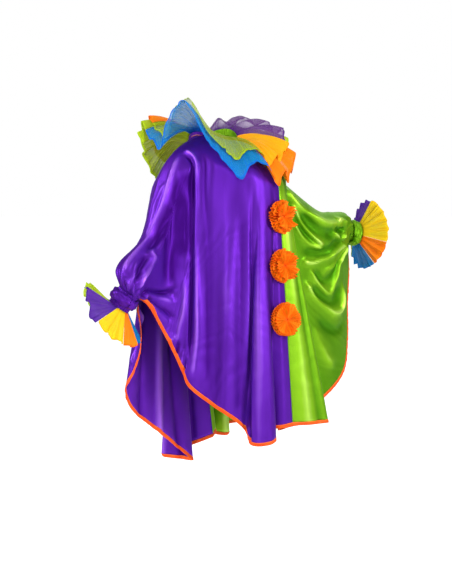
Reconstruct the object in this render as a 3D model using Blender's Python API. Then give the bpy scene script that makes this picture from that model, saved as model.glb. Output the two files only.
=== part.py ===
"""Clown costume: a two-colour satin poncho with bound edges, a two-layer tulle ruff,
gathered cuffs with tulle frills, and three tulle pompoms. Metres, +Z up.

The garment is in its worn, hollow form. The origin is the middle of the neck opening,
the front faces -Y, and the wearer's left is +X. Each panel is a set of sections, from
its top edge (neck, shoulder and arm) over the chest or arm and down to its hem.
"""

import math

import bmesh
import bpy
import numpy as np

# --- cloth thicknesses and gaps ---
SATIN_WALL = 0.0016
BINDING_WALL = 0.0030
BINDING_WIDTH = 0.012
BINDING_GAP = 0.0005
BINDING_LEAST_SLANT = 0.30
TULLE_WALL = 0.0012
SEAM_GAP = 0.0003

# --- neck opening, an ellipse that is higher at the back and at the sides of the neck ---
NECK_HALF_WIDTH = 0.085
NECK_HALF_DEPTH = 0.080
NECK_BACK_RISE = 0.015
NECK_SIDE_RISE = 0.040
BAND_WALL = 0.002
BAND_HEIGHT = 0.028
BAND_LIFT = 0.0017

# --- bust and shoulder-blade level, where the cloth starts to hang ---
CHEST_HALF_WIDTH = 0.205
CHEST_REACH = {"front": 0.270, "back": 0.125}
CHEST_DROP = {"front": 0.127, "back": 0.095}
SHOULDER_DROP = 0.044
SHOULDER_T = 0.95
SHOULDER_ANGLE = {"front_right": 74.0, "front_left": 58.0, "back_right": 50.0, "back_left": 58.0}
NECK_SIDE_T = 0.60

# --- wrists: the middle of each cuff's upper end, and the way the hand points ---
CUFF_RADIUS = 0.036
CUFF_LENGTH = {"right": 0.064, "left": 0.056}
CUFF_WALL = 0.002
CUFF_SEGMENTS = 24
CUFF_START = {"right": (-0.467, 0.004, -0.463), "left": (0.594, -0.200, -0.302)}
CUFF_AXIS = {"right": (-0.33, 0.47, -0.82), "left": (0.85, -0.45, -0.15)}
# The way from the middle of each arm to the seam on top of it, and to its front.
ARM_UP = {"right": (-0.71, 0.23, 0.67), "left": (0.14, -0.07, 0.99)}
ARM_FORWARD = {"right": (-0.31, -0.95, 0.0), "left": (-0.47, -0.88, 0.0)}

# Along each arm: t is the section's place (0 centre line, 1 shoulder, 2 cuff), then the
# seam on top of the arm, and how far the cloth stands out in front, behind and below it.
ARM_COLUMNS = ("name", "t", "x", "y", "z", "drop", "front", "back")
ARMS = {
    "right": (
        ("shoulder", 0.95, -0.193, 0.016, -0.003, 0.050, 0.082, 0.058),
        ("upper_arm", 1.15, -0.245, 0.035, -0.067, 0.050, 0.085, 0.075),
        ("elbow", 1.40, -0.290, 0.045, -0.167, 0.050, 0.075, 0.070),
        ("forearm", 1.65, -0.344, 0.047, -0.298, 0.050, 0.068, 0.062),
        ("blouse", 1.88, -0.504, 0.027, -0.388, 0.065, 0.062, 0.050),
    ),
    "left": (
        ("shoulder", 0.95, 0.180, -0.030, -0.012, 0.050, 0.070, 0.080),
        ("upper_arm", 1.15, 0.245, -0.120, -0.105, 0.052, 0.060, 0.080),
        ("elbow", 1.40, 0.380, -0.190, -0.212, 0.055, 0.060, 0.070),
        ("forearm", 1.65, 0.462, -0.203, -0.224, 0.055, 0.058, 0.060),
        ("blouse", 1.88, 0.562, -0.211, -0.232, 0.055, 0.054, 0.054),
    ),
}

# Each panel's lower edge, a row for each fold or turn: t as above, then the edge's place.
HEM_COLUMNS = ("name", "t", "x", "y", "z")
HEMS = {
    "front_right": (
        ("centre", 0.00, 0.000, -0.330, -0.937),
        ("strip", 0.05, -0.040, -0.318, -0.940),
        ("strip_valley", 0.10, -0.062, -0.282, -0.948),
        ("column_inner", 0.15, -0.082, -0.316, -0.972),
        ("column_front", 0.20, -0.121, -0.318, -0.984),
        ("column_outer", 0.27, -0.160, -0.266, -0.984),
        ("column_back", 0.32, -0.138, -0.234, -0.954),
        ("swell_side", 0.42, -0.168, -0.226, -0.920),
        ("swell", 0.60, -0.225, -0.200, -0.875),
        ("trough", 0.76, -0.238, -0.162, -0.851),
        ("shoulder_ridge", 0.92, -0.295, -0.115, -0.792),
        ("side_high", 1.16, -0.300, -0.085, -0.739),
        ("side_middle", 1.40, -0.318, -0.060, -0.670),
        ("side_low", 1.64, -0.358, -0.040, -0.587),
        ("wrist", 1.88, -0.412, -0.026, -0.507),
    ),
    "front_left": (
        ("centre", 0.00, 0.000, -0.330, -0.937),
        ("strip", 0.09, 0.065, -0.362, -0.940),
        ("far_ridge", 0.18, 0.136, -0.392, -0.941),
        ("ridge_back", 0.25, 0.152, -0.345, -0.948),
        ("hollow", 0.42, 0.180, -0.225, -0.979),
        ("valley", 0.68, 0.245, -0.118, -1.015),
        ("wing_inner", 0.92, 0.330, -0.155, -0.974),
        ("wing_bottom", 1.08, 0.420, -0.215, -0.906),
        ("wing_corner", 1.24, 0.520, -0.235, -0.827),
        ("wing_low", 1.40, 0.570, -0.224, -0.717),
        ("wing_side", 1.60, 0.580, -0.217, -0.568),
        ("wing_high", 1.76, 0.588, -0.217, -0.452),
        ("wrist", 1.88, 0.583, -0.213, -0.385),
    ),
    "back_right": (
        ("centre", 0.00, 0.000, 0.000, -1.013),
        ("inner", 0.12, -0.035, 0.045, -1.035),
        ("deep_fold", 0.28, -0.104, 0.122, -1.070),
        ("deep_turn", 0.36, -0.130, 0.118, -1.075),
        ("return", 0.44, -0.132, 0.060, -1.075),
        ("near_turn", 0.52, -0.126, 0.000, -1.075),
        ("near_edge", 0.60, -0.152, -0.006, -1.060),
        ("slant_low", 0.76, -0.220, 0.020, -0.999),
        ("slant", 0.92, -0.300, 0.045, -0.934),
        ("slant_high", 1.08, -0.385, 0.062, -0.863),
        ("corner", 1.24, -0.412, 0.066, -0.800),
        ("side_low", 1.40, -0.405, 0.036, -0.741),
        ("side_middle", 1.56, -0.405, 0.010, -0.676),
        ("side_high", 1.74, -0.404, 0.004, -0.600),
        ("wrist", 1.88, -0.416, 0.004, -0.534),
    ),
    "back_left": (
        ("centre", 0.00, 0.000, 0.000, -1.013),
        ("inner", 0.12, 0.035, 0.012, -0.999),
        ("fold_one", 0.28, 0.100, 0.085, -1.025),
        ("trough_one", 0.44, 0.150, 0.045, -1.035),
        ("fold_two", 0.60, 0.215, 0.095, -1.015),
        ("trough_two", 0.76, 0.275, 0.045, -1.000),
        ("hip", 0.92, 0.340, 0.050, -0.969),
        ("wing_inner", 1.08, 0.420, -0.020, -0.919),
        ("wing_bottom", 1.24, 0.500, -0.085, -0.853),
        ("wing_corner", 1.40, 0.558, -0.130, -0.761),
        ("wing_side", 1.56, 0.585, -0.155, -0.629),
        ("wing_high", 1.74, 0.592, -0.172, -0.487),
        ("wrist", 1.88, 0.586, -0.180, -0.391),
    ),
}

# --- how full the curve over the shoulder is, by t ---
FULLNESS_T = (0.0, 0.95, 1.65, 2.0)
FULLNESS = (0.35, 0.45, 0.60, 0.70)

# --- grid of a panel: columns for each fold row, and rows over and below the carrier ---
COLUMNS_A_ROW = 2
ARM_STEP = 0.08
GATHERED_T = 1.88
CUFF_STEP = 0.03
ROWS_OVER = 4
ROWS_BELOW = 6
SECTION_POINTS = 24

# --- gathers where the sleeve runs into the cuff ---
GATHERS = 3
GATHER_T = 1.93
GATHER_DEPTH = 0.004
GATHER_FADE = 0.10

# --- the ruff ---
# Its longer lower layer: a row for each crest and valley of its edge, by azimuth in
# degrees from the front toward the wearer's left, reach from the neck's middle, height.
RUFF_COLUMNS = ("azimuth", "reach", "z")
RUFF = (
    (-192, 0.240, -0.120), (-184, 0.252, -0.108), (-174, 0.250, -0.082), (-167, 0.240, -0.075),
    (-160, 0.258, -0.012), (-153, 0.240, -0.010), (-145, 0.262, 0.062), (-137, 0.242, 0.020),
    (-128, 0.256, 0.095), (-118, 0.246, 0.040), (-108, 0.254, 0.030), (-98, 0.256, 0.002),
    (-92, 0.260, 0.080), (-85, 0.254, 0.134), (-77, 0.243, 0.156), (-70, 0.240, 0.108),
    (-63, 0.252, 0.052), (-56, 0.266, 0.006), (-48, 0.270, -0.036), (-41, 0.272, -0.078),
    (-35, 0.276, -0.102), (-26, 0.266, -0.052), (-14, 0.286, -0.062), (-6, 0.288, -0.122),
    (3, 0.290, -0.070), (11, 0.280, -0.112), (19, 0.288, -0.046), (27, 0.276, -0.082),
    (35, 0.288, -0.012), (44, 0.274, -0.030), (54, 0.278, 0.045), (64, 0.262, 0.010),
    (75, 0.266, 0.058), (86, 0.250, 0.040), (98, 0.256, 0.072), (109, 0.242, 0.040),
    (120, 0.252, 0.066), (131, 0.238, 0.010), (142, 0.250, 0.025), (152, 0.240, -0.060),
    (160, 0.252, -0.052),
)
# How far the ruff arches over the straight way to its edge, and more where the edge falls.
RUFF_RISE = 0.045
RUFF_FALL_RISE = 0.50
RUFF_ROOT_Z = 0.013
# The upper layer, by azimuth: its length as a share of the lower one, and how far it
# stands over it at its edge.
RUFF_UPPER_COLUMNS = ("azimuth", "share", "lift")
RUFF_UPPER = (
    (-200, 0.82, 0.014), (-122, 0.84, 0.014), (-30, 0.82, 0.012), (20, 0.84, 0.014),
    (46, 0.90, 0.022), (62, 0.97, 0.036), (85, 1.00, 0.052), (118, 1.00, 0.048), (135, 0.94, 0.030),
    (160, 0.82, 0.014), (168, 0.82, 0.014),
)
RUFF_LAYER_GAP = 0.012
RUFF_COLUMNS_A_FOLD = 3
RUFF_ROWS = 3
# Each quarter: first and last azimuth, and the colours of its two layers.
RUFF_QUARTERS = (
    ("right", -122, -12, "tulle_blue", "tulle_lime"),
    ("front", -12, 46, "tulle_orange", "tulle_yellow"),
    ("left", 46, 140, "tulle_lime", "tulle_purple"),
    ("back", 140, 238, "tulle_lime", "tulle_orange"),
)

# --- tulle frills at the wrists: five panels round each ---
FRILL_LAP = 0.006
# How far it flares from the cuff's axis: at its top, in front, below and behind, and how
# much of that is left across the arm, where a frill is pressed flat.
FRILL_FLARE = {"right": (94.0, 50.0, 52.0, 58.0), "left": (66.0, 49.0, 58.0, 49.0)}
FRILL_SPREAD = {"right": 0.55, "left": 1.0}
FRILL_WAVES = 20
FRILL_WAVE_RISE = 0.07
FRILL_ROWS = 2
FRILL_COLUMN_ANGLE = 4.5
# Each panel's colour, its length, and where it begins, in degrees from the cuff's top
# toward the front.
FRILL_PANELS = {
    "right": (
        ("purple", 0.122, 17), ("yellow", 0.104, 62), ("orange", 0.108, 108), ("blue", 0.104, 140),
        ("lime", 0.090, 240),
    ),
    "left": (
        ("yellow", 0.100, 2), ("orange", 0.100, 98), ("blue", 0.100, 148), ("lime", 0.100, 226),
        ("purple", 0.100, 292),
    ),
}

# --- satin tie rolled round each cuff ---
TIE_HALF_THICKNESS = 0.0055
TIE_HALF_WIDTH = 0.018
TIE_RING_POINTS = 8
TIE_KNOT_GROWTH = 0.7
TIE_FOLDS = 7
TIE_FOLD_DEPTH = 0.10
TIE_KNOT_ANGLE = {"right": math.radians(100), "left": math.radians(120)}
TIE_KNOT_SPREAD = math.radians(28)

# --- pompoms on the centre front seam, by the height of their middles ---
POMPOMS = (("top", -0.2285), ("middle", -0.393), ("bottom", -0.574))
POMPOM_BESIDE_SEAM = 0.03
POMPOM_RADIUS = 0.056
POMPOM_LOBES = 9
POMPOM_POINTS_A_LOBE = 4
POMPOM_LOBE_DEPTH = 0.08
# radius as a share of the whole, and how far out from the panel
POMPOM_PROFILE = (
    (0.12, 0.000), (0.55, 0.011), (0.98, 0.023), (1.00, 0.033), (0.78, 0.045), (0.40, 0.048), (0.12, 0.040),
)

COLOURS = {
    "satin_purple": (0.155, 0.025, 0.50, 1.0),
    "satin_green": (0.23, 0.55, 0.035, 1.0),
    "binding_orange": (0.95, 0.10, 0.01, 1.0),
    "tulle_blue": (0.02, 0.26, 0.62, 1.0),
    "tulle_lime": (0.42, 0.52, 0.08, 1.0),
    "tulle_orange": (0.95, 0.23, 0.01, 1.0),
    "tulle_yellow": (0.85, 0.55, 0.03, 1.0),
    "tulle_purple": (0.20, 0.08, 0.38, 1.0),
    "pompom_orange": (0.93, 0.14, 0.01, 1.0),
}
ROUGHNESS = {"satin": 0.32, "binding": 0.5, "tulle": 0.8, "pompom": 0.8}


# ------------------------------------------------------------------ small maths
def unit(vector):
    """The vector, or each row of an array of vectors, at length one."""
    vector = np.asarray(vector, float)
    return vector / np.linalg.norm(vector, axis=-1, keepdims=True)


def smooth_through(knots, values, places):
    """A smooth curve through values at the knots, read at places."""
    knots = np.asarray(knots, float)
    values = np.asarray(values, float)
    places = np.atleast_1d(np.asarray(places, float))
    slopes = np.empty_like(values)
    steps = np.diff(knots)
    rises = np.diff(values, axis=0) / steps.reshape((-1,) + (1,) * (values.ndim - 1))
    slopes[0] = rises[0]
    slopes[-1] = rises[-1]
    slopes[1:-1] = (rises[:-1] + rises[1:]) / 2
    index = np.clip(np.searchsorted(knots, places, side="right") - 1, 0, len(steps) - 1)
    shape = (-1,) + (1,) * (values.ndim - 1)
    step = steps[index].reshape(shape)
    s = ((places - knots[index]) / steps[index]).reshape(shape)
    start = (1 + 2 * s) * (1 - s) ** 2 * values[index] + s * (1 - s) ** 2 * step * slopes[index]
    end = s * s * (3 - 2 * s) * values[index + 1] + s * s * (s - 1) * step * slopes[index + 1]
    return start + end


def arc(start, corner, end, places):
    """A quarter of an ellipse from start to end, inside the corner between them."""
    s = np.asarray(places, float)[:, None]
    weight = math.sqrt(0.5)
    parts = (1 - s) ** 2, 2 * weight * s * (1 - s), s * s
    return (parts[0] * start + parts[1] * corner + parts[2] * end) / sum(parts)


# ------------------------------------------------------------------ the poncho's sections
def cuff_frame(side):
    """The cuff's start and its axis, up and forward directions."""
    axis = unit(CUFF_AXIS[side])
    up = np.array(ARM_UP[side])
    up = unit(up - (up @ axis) * axis)
    forward = np.cross(up, axis)
    if forward[1] > 0:
        forward = -forward
    return np.array(CUFF_START[side]), axis, up, forward


def neck_point(azimuth, out=0.0):
    """A point of the neck opening, at an azimuth from the front toward the wearer's left."""
    x = (NECK_HALF_WIDTH + out) * math.sin(azimuth)
    y = -(NECK_HALF_DEPTH + out) * math.cos(azimuth)
    z = NECK_BACK_RISE * (1 - math.cos(azimuth)) / 2 + NECK_SIDE_RISE * math.sin(azimuth) ** 2
    return np.array([x, y, z])


def arm_rows(side):
    """The arm's table as t, seam points, drop, and reach in front and behind, cuff included."""
    rows = [dict(zip(ARM_COLUMNS, row)) for row in ARMS[side]]
    start, _, up, _ = cuff_frame(side)
    top = start + CUFF_RADIUS * up
    rows.append({"t": 2.0, "x": top[0], "y": top[1], "z": top[2],
                 "drop": CUFF_RADIUS, "front": CUFF_RADIUS, "back": CUFF_RADIUS})
    return rows


def top_points(side, face, places):
    """The panel's top edge: round the neck, then along the shoulder and the arm."""
    sign = -1 if side == "right" else 1
    rows = arm_rows(side)
    knots = [NECK_SIDE_T] + [row["t"] for row in rows]
    points = [neck_point(sign * math.pi / 2)] + [(row["x"], row["y"], row["z"]) for row in rows]
    along_arm = smooth_through(knots, points, places)
    result = []
    for t, arm_point in zip(places, along_arm):
        if t < NECK_SIDE_T:
            turn = t / NECK_SIDE_T * math.pi / 2
            azimuth = turn if face == "front" else math.pi - turn
            arm_point = neck_point(sign * azimuth)
        result.append(arm_point)
    return np.array(result)


def carrier_points(side, face, places):
    """Where the cloth leaves the chest, back or arm and starts to hang."""
    sign = -1 if side == "right" else 1
    facing = -1 if face == "front" else 1
    knots = [0.0, 0.15, 0.30, 0.45, 0.60, 0.78, SHOULDER_T]
    points = []
    for t in knots:
        angle = math.radians(SHOULDER_ANGLE[face + "_" + side]) * t / SHOULDER_T
        drop = CHEST_DROP[face] + (SHOULDER_DROP - CHEST_DROP[face]) * math.sin(angle) ** 2
        across = sign * CHEST_HALF_WIDTH * math.sin(angle)
        points.append((across, facing * CHEST_REACH[face] * math.cos(angle), -drop))
    for row in arm_rows(side)[1:]:
        up, forward = unit(ARM_UP[side]), unit(ARM_FORWARD[side])
        if row["t"] >= GATHERED_T:
            _, _, up, forward = cuff_frame(side)
        seam = np.array([row["x"], row["y"], row["z"]])
        reach = row["front"] if face == "front" else -row["back"]
        knots.append(row["t"])
        points.append(seam - row["drop"] * up + reach * forward)
    return smooth_through(knots, points, places)


def hem_points(side, face, places):
    """The panel's lower edge, from the hem's middle to the underside of the cuff."""
    rows = [dict(zip(HEM_COLUMNS, row)) for row in HEMS[face + "_" + side]]
    start, _, up, _ = cuff_frame(side)
    knots = [row["t"] for row in rows] + [2.0]
    points = [(row["x"], row["y"], row["z"]) for row in rows] + [start - CUFF_RADIUS * up]
    return smooth_through(knots, points, places)


def panel_places(side, face):
    """The places t of a panel's columns: its own folds to the neck's side, then shared ones."""
    knots = [row[1] for row in HEMS[face + "_" + side] if row[1] < NECK_SIDE_T] + [NECK_SIDE_T]
    places = []
    for first, last in zip(knots[:-1], knots[1:]):
        places.extend(first + (last - first) * k / COLUMNS_A_ROW for k in range(COLUMNS_A_ROW))
    along_arm = np.arange(NECK_SIDE_T, GATHERED_T - ARM_STEP / 2, ARM_STEP)
    at_cuff = np.arange(GATHERED_T, 2.0 + CUFF_STEP / 2, CUFF_STEP)
    return np.concatenate([places, along_arm, at_cuff])


def section(top, carrier, hem, fullness, roundness):
    """One section's points from top to hem, and how many of them lie over the carrier."""
    straight = (carrier + hem) / 2
    corner = carrier + unit(hem - top) * np.linalg.norm(hem - carrier) * math.sqrt(0.5)
    low_corner = straight + (corner - straight) * roundness
    high_corner = carrier - unit(low_corner - carrier) * fullness * np.linalg.norm(top - carrier)
    places = np.linspace(0, 1, SECTION_POINTS + 1)
    over = arc(top, high_corner, carrier, places)
    below = arc(carrier, low_corner, hem, places)
    return np.vstack([over[:-1], below]), SECTION_POINTS


def read_along(points, distances):
    """Points at given distances along a chain of points."""
    lengths = np.concatenate([[0.0], np.cumsum(np.linalg.norm(np.diff(points, axis=0), axis=1))])
    return np.stack([np.interp(distances, lengths, points[:, axis]) for axis in range(3)], axis=1)


def panel_grid(side, face):
    """A panel's middle surface with its binding: points, normals and places t."""
    places = panel_places(side, face)
    tops = top_points(side, face, places)
    carriers = carrier_points(side, face, places)
    hems = hem_points(side, face, places)
    fullness = np.interp(places, FULLNESS_T, FULLNESS)
    roundness = np.clip((places - GATHERED_T) / (2.0 - GATHERED_T), 0, 1) ** 2
    along_hem = unit(np.gradient(hems, axis=0))
    columns = []
    for k, (top, carrier, hem) in enumerate(zip(tops, carriers, hems)):
        chain, over = section(top, carrier, hem, fullness[k], roundness[k])
        last_step = unit(chain[-1] - chain[-2])
        slant = max(math.sqrt(max(1 - (last_step @ along_hem[k]) ** 2, 0.0)), BINDING_LEAST_SLANT)
        steps = np.linalg.norm(np.diff(chain, axis=0), axis=1)
        over_length = steps[:over].sum()
        length = steps.sum()
        width = BINDING_WIDTH / slant
        last = length - (BINDING_WIDTH + BINDING_GAP) / slant
        if places[k] > places[-2]:
            last = length - SEAM_GAP
        distances = np.concatenate([
            np.linspace(0, over_length, ROWS_OVER + 1)[:-1],
            np.linspace(over_length, last, ROWS_BELOW + 1),
            [length - width, length],
        ])
        columns.append(read_along(chain, distances))
    grid = np.array(columns)
    grid[0, :, 0] = 0.0
    normals = grid_normals(grid, side, face)
    rows = np.linspace(0, 1, grid.shape[1] - 2)
    depth = GATHER_DEPTH * np.exp(-(((places - GATHER_T) / GATHER_FADE) ** 2)) * (places < 2.0)
    wave = np.sin(2 * math.pi * GATHERS * rows) * np.sin(math.pi * rows)
    grid[:, :-2] += normals[:, :-2] * (depth[:, None] * wave[None, :])[:, :, None]
    return grid, normals, places


def grid_normals(grid, side, face):
    """Outward normals of a panel's grid, squared to its seams so that the walls meet there."""
    normals = unit(np.cross(np.gradient(grid, axis=0), np.gradient(grid, axis=1)))
    if (side == "right") != (face == "front"):
        normals = -normals
    normals[0, :, 0] = 0.0
    normals[-1] = cuff_normals(grid[-1], side)
    normals[:, -2] = (normals[:, -2] + normals[:, -1]) / 2
    normals[:, -1] = normals[:, -2]
    normals[:, -3] = normals[:, -2]
    return unit(normals)


def cuff_normals(points, side):
    """Outward directions from a cuff's axis at points round its start."""
    start, axis, _, _ = cuff_frame(side)
    radial = points - start
    return unit(radial - (radial @ axis)[:, None] * axis)


def seam_frames(side, places):
    """Along the seam on the shoulder and arm: the seam's outward and forward directions."""
    tops = top_points(side, "front", places)
    along = unit(np.gradient(tops, axis=0))
    fronts = carrier_points(side, "front", places)
    backs = carrier_points(side, "back", places)
    outward = unit(tops - (fronts + backs) / 2)
    outward = unit(outward - np.sum(outward * along, axis=1)[:, None] * along)
    forward = np.cross(along, outward)
    forward *= np.where(np.sum(forward * (fronts - backs), axis=1) < 0, -1.0, 1.0)[:, None]
    return outward, forward


# ------------------------------------------------------------------ solids
def material(name):
    """The named material, made once."""
    found = bpy.data.materials.get(name)
    if found is None:
        found = bpy.data.materials.new(name)
        found.use_nodes = True
        found.diffuse_color = COLOURS[name]
        shader = found.node_tree.nodes["Principled BSDF"]
        shader.inputs["Base Color"].default_value = COLOURS[name]
        shader.inputs["Roughness"].default_value = ROUGHNESS[name.split("_")[0]]
        shader.inputs["Metallic"].default_value = 0.0
    return found


def add_solid(name, points, faces, material_name, sharp_degrees=50):
    """A named object from points and faces, with its faces pointing out."""
    mesh = bpy.data.meshes.new(name)
    mesh.from_pydata([tuple(point) for point in points], [], faces)
    shape = bmesh.new()
    shape.from_mesh(mesh)
    bmesh.ops.recalc_face_normals(shape, faces=shape.faces)
    bmesh.ops.triangulate(shape, faces=shape.faces)
    shape.to_mesh(mesh)
    shape.free()
    mesh.materials.append(material(material_name))
    mesh.shade_smooth()
    mesh.set_sharp_from_angle(angle=math.radians(sharp_degrees))
    thing = bpy.data.objects.new(name, mesh)
    bpy.context.scene.collection.objects.link(thing)
    return thing


def add_sheet(name, grid, normals, wall, material_name):
    """A wall of cloth: the grid's points moved out and in, and closed round its edges."""
    columns, rows = grid.shape[:2]
    outer = (grid + normals * wall / 2).reshape(-1, 3)
    inner = (grid - normals * wall / 2).reshape(-1, 3)
    count = columns * rows
    faces = []
    for i in range(columns - 1):
        for j in range(rows - 1):
            a = i * rows + j
            quad = (a, a + 1, a + rows + 1, a + rows)
            faces.append(quad)
            faces.append(tuple(count + k for k in reversed(quad)))
    border = [i * rows for i in range(columns)]
    border += [(columns - 1) * rows + j for j in range(1, rows)]
    border += [i * rows + rows - 1 for i in range(columns - 2, -1, -1)]
    border += [j for j in range(rows - 2, 0, -1)]
    for a, b in zip(border, border[1:] + border[:1]):
        faces.append((a, b, count + b, count + a))
    return add_solid(name, np.vstack([outer, inner]), faces, material_name)


def add_ring(name, rings, material_name):
    """A closed ring-shaped solid from a loop of closed cross-sections."""
    count = len(rings)
    size = len(rings[0])
    faces = []
    for i in range(count):
        for j in range(size):
            k = (i + 1) % count
            m = (j + 1) % size
            faces.append((i * size + j, k * size + j, k * size + m, i * size + m))
    return add_solid(name, np.concatenate(rings), faces, material_name)


# ------------------------------------------------------------------ the poncho
def build_panel(side, face):
    """One quarter of the poncho, and the edge points that its binding uses, short of the cuff."""
    grid, normals, places = panel_grid(side, face)
    sign = -1 if side == "right" else 1
    facing = 1 if face == "front" else -1
    outward, forward = seam_frames(side, places)
    on_seam = places >= NECK_SIDE_T
    grid[on_seam, 0] += facing * forward[on_seam] * SEAM_GAP / 2
    normals[on_seam, 0] = outward[on_seam]
    normals[-1] = cuff_normals(grid[-1], side)
    for column in (-2, -3):
        normals[column] = unit(normals[column - 1] + normals[column + 1])
    panel = grid[:, :-2].copy()
    panel[0, :, 0] = sign * SEAM_GAP / 2
    colour = "satin_purple" if side == "right" else "satin_green"
    add_sheet(face + "_" + side, panel, normals[:, :-2], SATIN_WALL, colour)
    return grid[:-1, -2:], normals[:-1, -2:]


def build_poncho():
    """Four panels, and a binding along the whole lower edge of the front and of the back."""
    for face in ("front", "back"):
        right_edge, right_normals = build_panel("right", face)
        left_edge, left_normals = build_panel("left", face)
        edge = np.vstack([right_edge[::-1], left_edge[1:]])
        normals = np.vstack([right_normals[::-1], left_normals[1:]])
        add_sheet("binding_" + face, edge, normals, BINDING_WALL, "binding_orange")


def build_neck_band():
    """Two halves of a low stand round the neck, in the colours of the panels."""
    turn = SEAM_GAP / 2 / NECK_HALF_DEPTH
    for side, sign, colour in (("right", -1, "satin_purple"), ("left", 1, "satin_green")):
        front, back = (places[places <= NECK_SIDE_T] / NECK_SIDE_T * math.pi / 2
                       for places in (panel_places(side, "front"), panel_places(side, "back")))
        azimuths = np.clip(np.concatenate([front, math.pi - back[-2::-1]]), turn, math.pi - turn) * sign
        grid = np.array([[neck_point(a, BAND_WALL / 2) + (0, 0, BAND_LIFT),
                          neck_point(a, BAND_WALL / 2) + (0, 0, BAND_HEIGHT)] for a in azimuths])
        normals = np.array([[(math.sin(a), -math.cos(a), 0.0)] * 2 for a in azimuths])
        add_sheet("neck_band_" + side, grid, normals, BAND_WALL, colour)


# ------------------------------------------------------------------ the ruff
def ruff_point(azimuth_degrees, share, layer):
    """A point of one ruff layer, at a share of the way from the neck to its edge."""
    table = np.array(RUFF, float)
    table = np.vstack([table, table[:1] + (360, 0, 0)])
    wrapped = table[0, 0] + (azimuth_degrees - table[0, 0]) % 360
    reach, edge_z = smooth_through(table[:, 0], table[:, 1:], wrapped)[0]
    places, shares, lifts = np.array(RUFF_UPPER, float).T
    length, lift = np.interp(wrapped, places, shares), np.interp(wrapped, places, lifts)
    azimuth = math.radians(azimuth_degrees)
    root = neck_point(azimuth, BAND_WALL + 2 * SEAM_GAP)
    root[2] += RUFF_ROOT_Z
    edge = np.array([reach * math.sin(azimuth), -reach * math.cos(azimuth), edge_z])
    bend = (root + edge) / 2 + (0, 0, RUFF_RISE + RUFF_FALL_RISE * max(-edge_z, 0.0))
    along = share * length if layer == "upper" else share
    place = (1 - along) ** 2 * root + 2 * along * (1 - along) * bend + along ** 2 * edge
    if layer == "upper":
        place[2] += RUFF_LAYER_GAP + (lift - RUFF_LAYER_GAP) * share
    return place


def build_ruff():
    """Four quarters of two layers each, gathered at the neck and waved at the edge."""
    gap = math.degrees(SEAM_GAP / 2 / NECK_HALF_DEPTH)
    step = 360 / (len(RUFF) * RUFF_COLUMNS_A_FOLD)
    for quarter, first, last, lower_colour, upper_colour in RUFF_QUARTERS:
        for layer, colour in (("lower", lower_colour), ("upper", upper_colour)):
            azimuths = np.linspace(first + gap, last - gap, round((last - first) / step) + 1)
            shares = np.linspace(0, 1, RUFF_ROWS + 1)
            grid = np.array([[ruff_point(a, s, layer) for s in shares] for a in azimuths])
            normals = unit(np.cross(np.gradient(grid, axis=0), np.gradient(grid, axis=1)))
            for column in (0, -1):
                azimuth = math.radians(azimuths[column])
                across = np.array([math.cos(azimuth), math.sin(azimuth), 0.0])
                normals[column] -= (normals[column] @ across)[:, None] * across
            add_sheet(f"ruff_{quarter}_{layer}", grid, unit(normals), TULLE_WALL, colour)


# ------------------------------------------------------------------ the wrists
def around(side, angle):
    """The direction out from a cuff's axis, at an angle from its top toward the front."""
    _, _, up, forward = cuff_frame(side)
    return math.cos(angle) * up + math.sin(angle) * forward


def build_cuff(side):
    """A short tube round the wrist, closely gathered."""
    start, axis, _, _ = cuff_frame(side)
    rings = []
    for k in range(CUFF_SEGMENTS):
        angle = 2 * math.pi * k / CUFF_SEGMENTS
        out = around(side, angle)
        inner = CUFF_RADIUS - CUFF_WALL / 2
        outer = CUFF_RADIUS + CUFF_WALL / 2
        first = start + axis * SEAM_GAP
        last = start + axis * CUFF_LENGTH[side]
        rings.append(np.array([first + inner * out, first + outer * out,
                               last + outer * out, last + inner * out]))
    add_ring("cuff_" + side, rings, "satin_purple" if side == "right" else "satin_green")


def build_tie(side):
    """A soft roll of satin round the cuff, thicker at its knot."""
    start, axis, _, _ = cuff_frame(side)
    middle = start + axis * (TIE_HALF_WIDTH + 2 * SATIN_WALL + TIE_HALF_THICKNESS)
    base = CUFF_RADIUS + CUFF_WALL / 2 + SEAM_GAP
    rings = []
    for k in range(CUFF_SEGMENTS):
        angle = 2 * math.pi * k / CUFF_SEGMENTS
        off_knot = (angle - TIE_KNOT_ANGLE[side] + math.pi) % (2 * math.pi) - math.pi
        growth = 1 + TIE_KNOT_GROWTH * math.exp(-((off_knot / TIE_KNOT_SPREAD) ** 2))
        growth += TIE_FOLD_DEPTH * math.cos(TIE_FOLDS * angle)
        half = TIE_HALF_THICKNESS * growth
        out = around(side, angle)
        turns = 2 * math.pi * np.arange(TIE_RING_POINTS) / TIE_RING_POINTS
        ring = [middle + out * (base + half * (1 + math.cos(turn))) + axis * TIE_HALF_WIDTH * math.sin(turn)
                for turn in turns]
        rings.append(np.array(ring))
    add_ring("tie_" + side, rings, "satin_purple" if side == "right" else "satin_green")


def frill_point(side, angle, distance):
    """A point of the wrist frill, at a distance from the cuff."""
    start, axis, up, forward = cuff_frame(side)
    top, front, below, back = FRILL_FLARE[side]
    lengthwise = top if math.cos(angle) > 0 else below
    across = front if math.sin(angle) > 0 else back
    flare = math.radians(lengthwise * math.cos(angle) ** 2 + across * math.sin(angle) ** 2)
    radius = CUFF_RADIUS + CUFF_WALL / 2 + SEAM_GAP + TULLE_WALL / 2
    root = start + axis * (CUFF_LENGTH[side] - FRILL_LAP) + around(side, angle) * radius
    spread = math.cos(angle) * up + FRILL_SPREAD[side] * math.sin(angle) * forward
    along = unit(math.cos(flare) * axis + math.sin(flare) * spread)
    raised = unit((axis @ along) * along - axis)
    wave = 1 - math.cos(FRILL_WAVES * (angle - math.radians(FRILL_PANELS[side][0][2])))
    return root + distance * (along + raised * FRILL_WAVE_RISE * wave)


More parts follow.
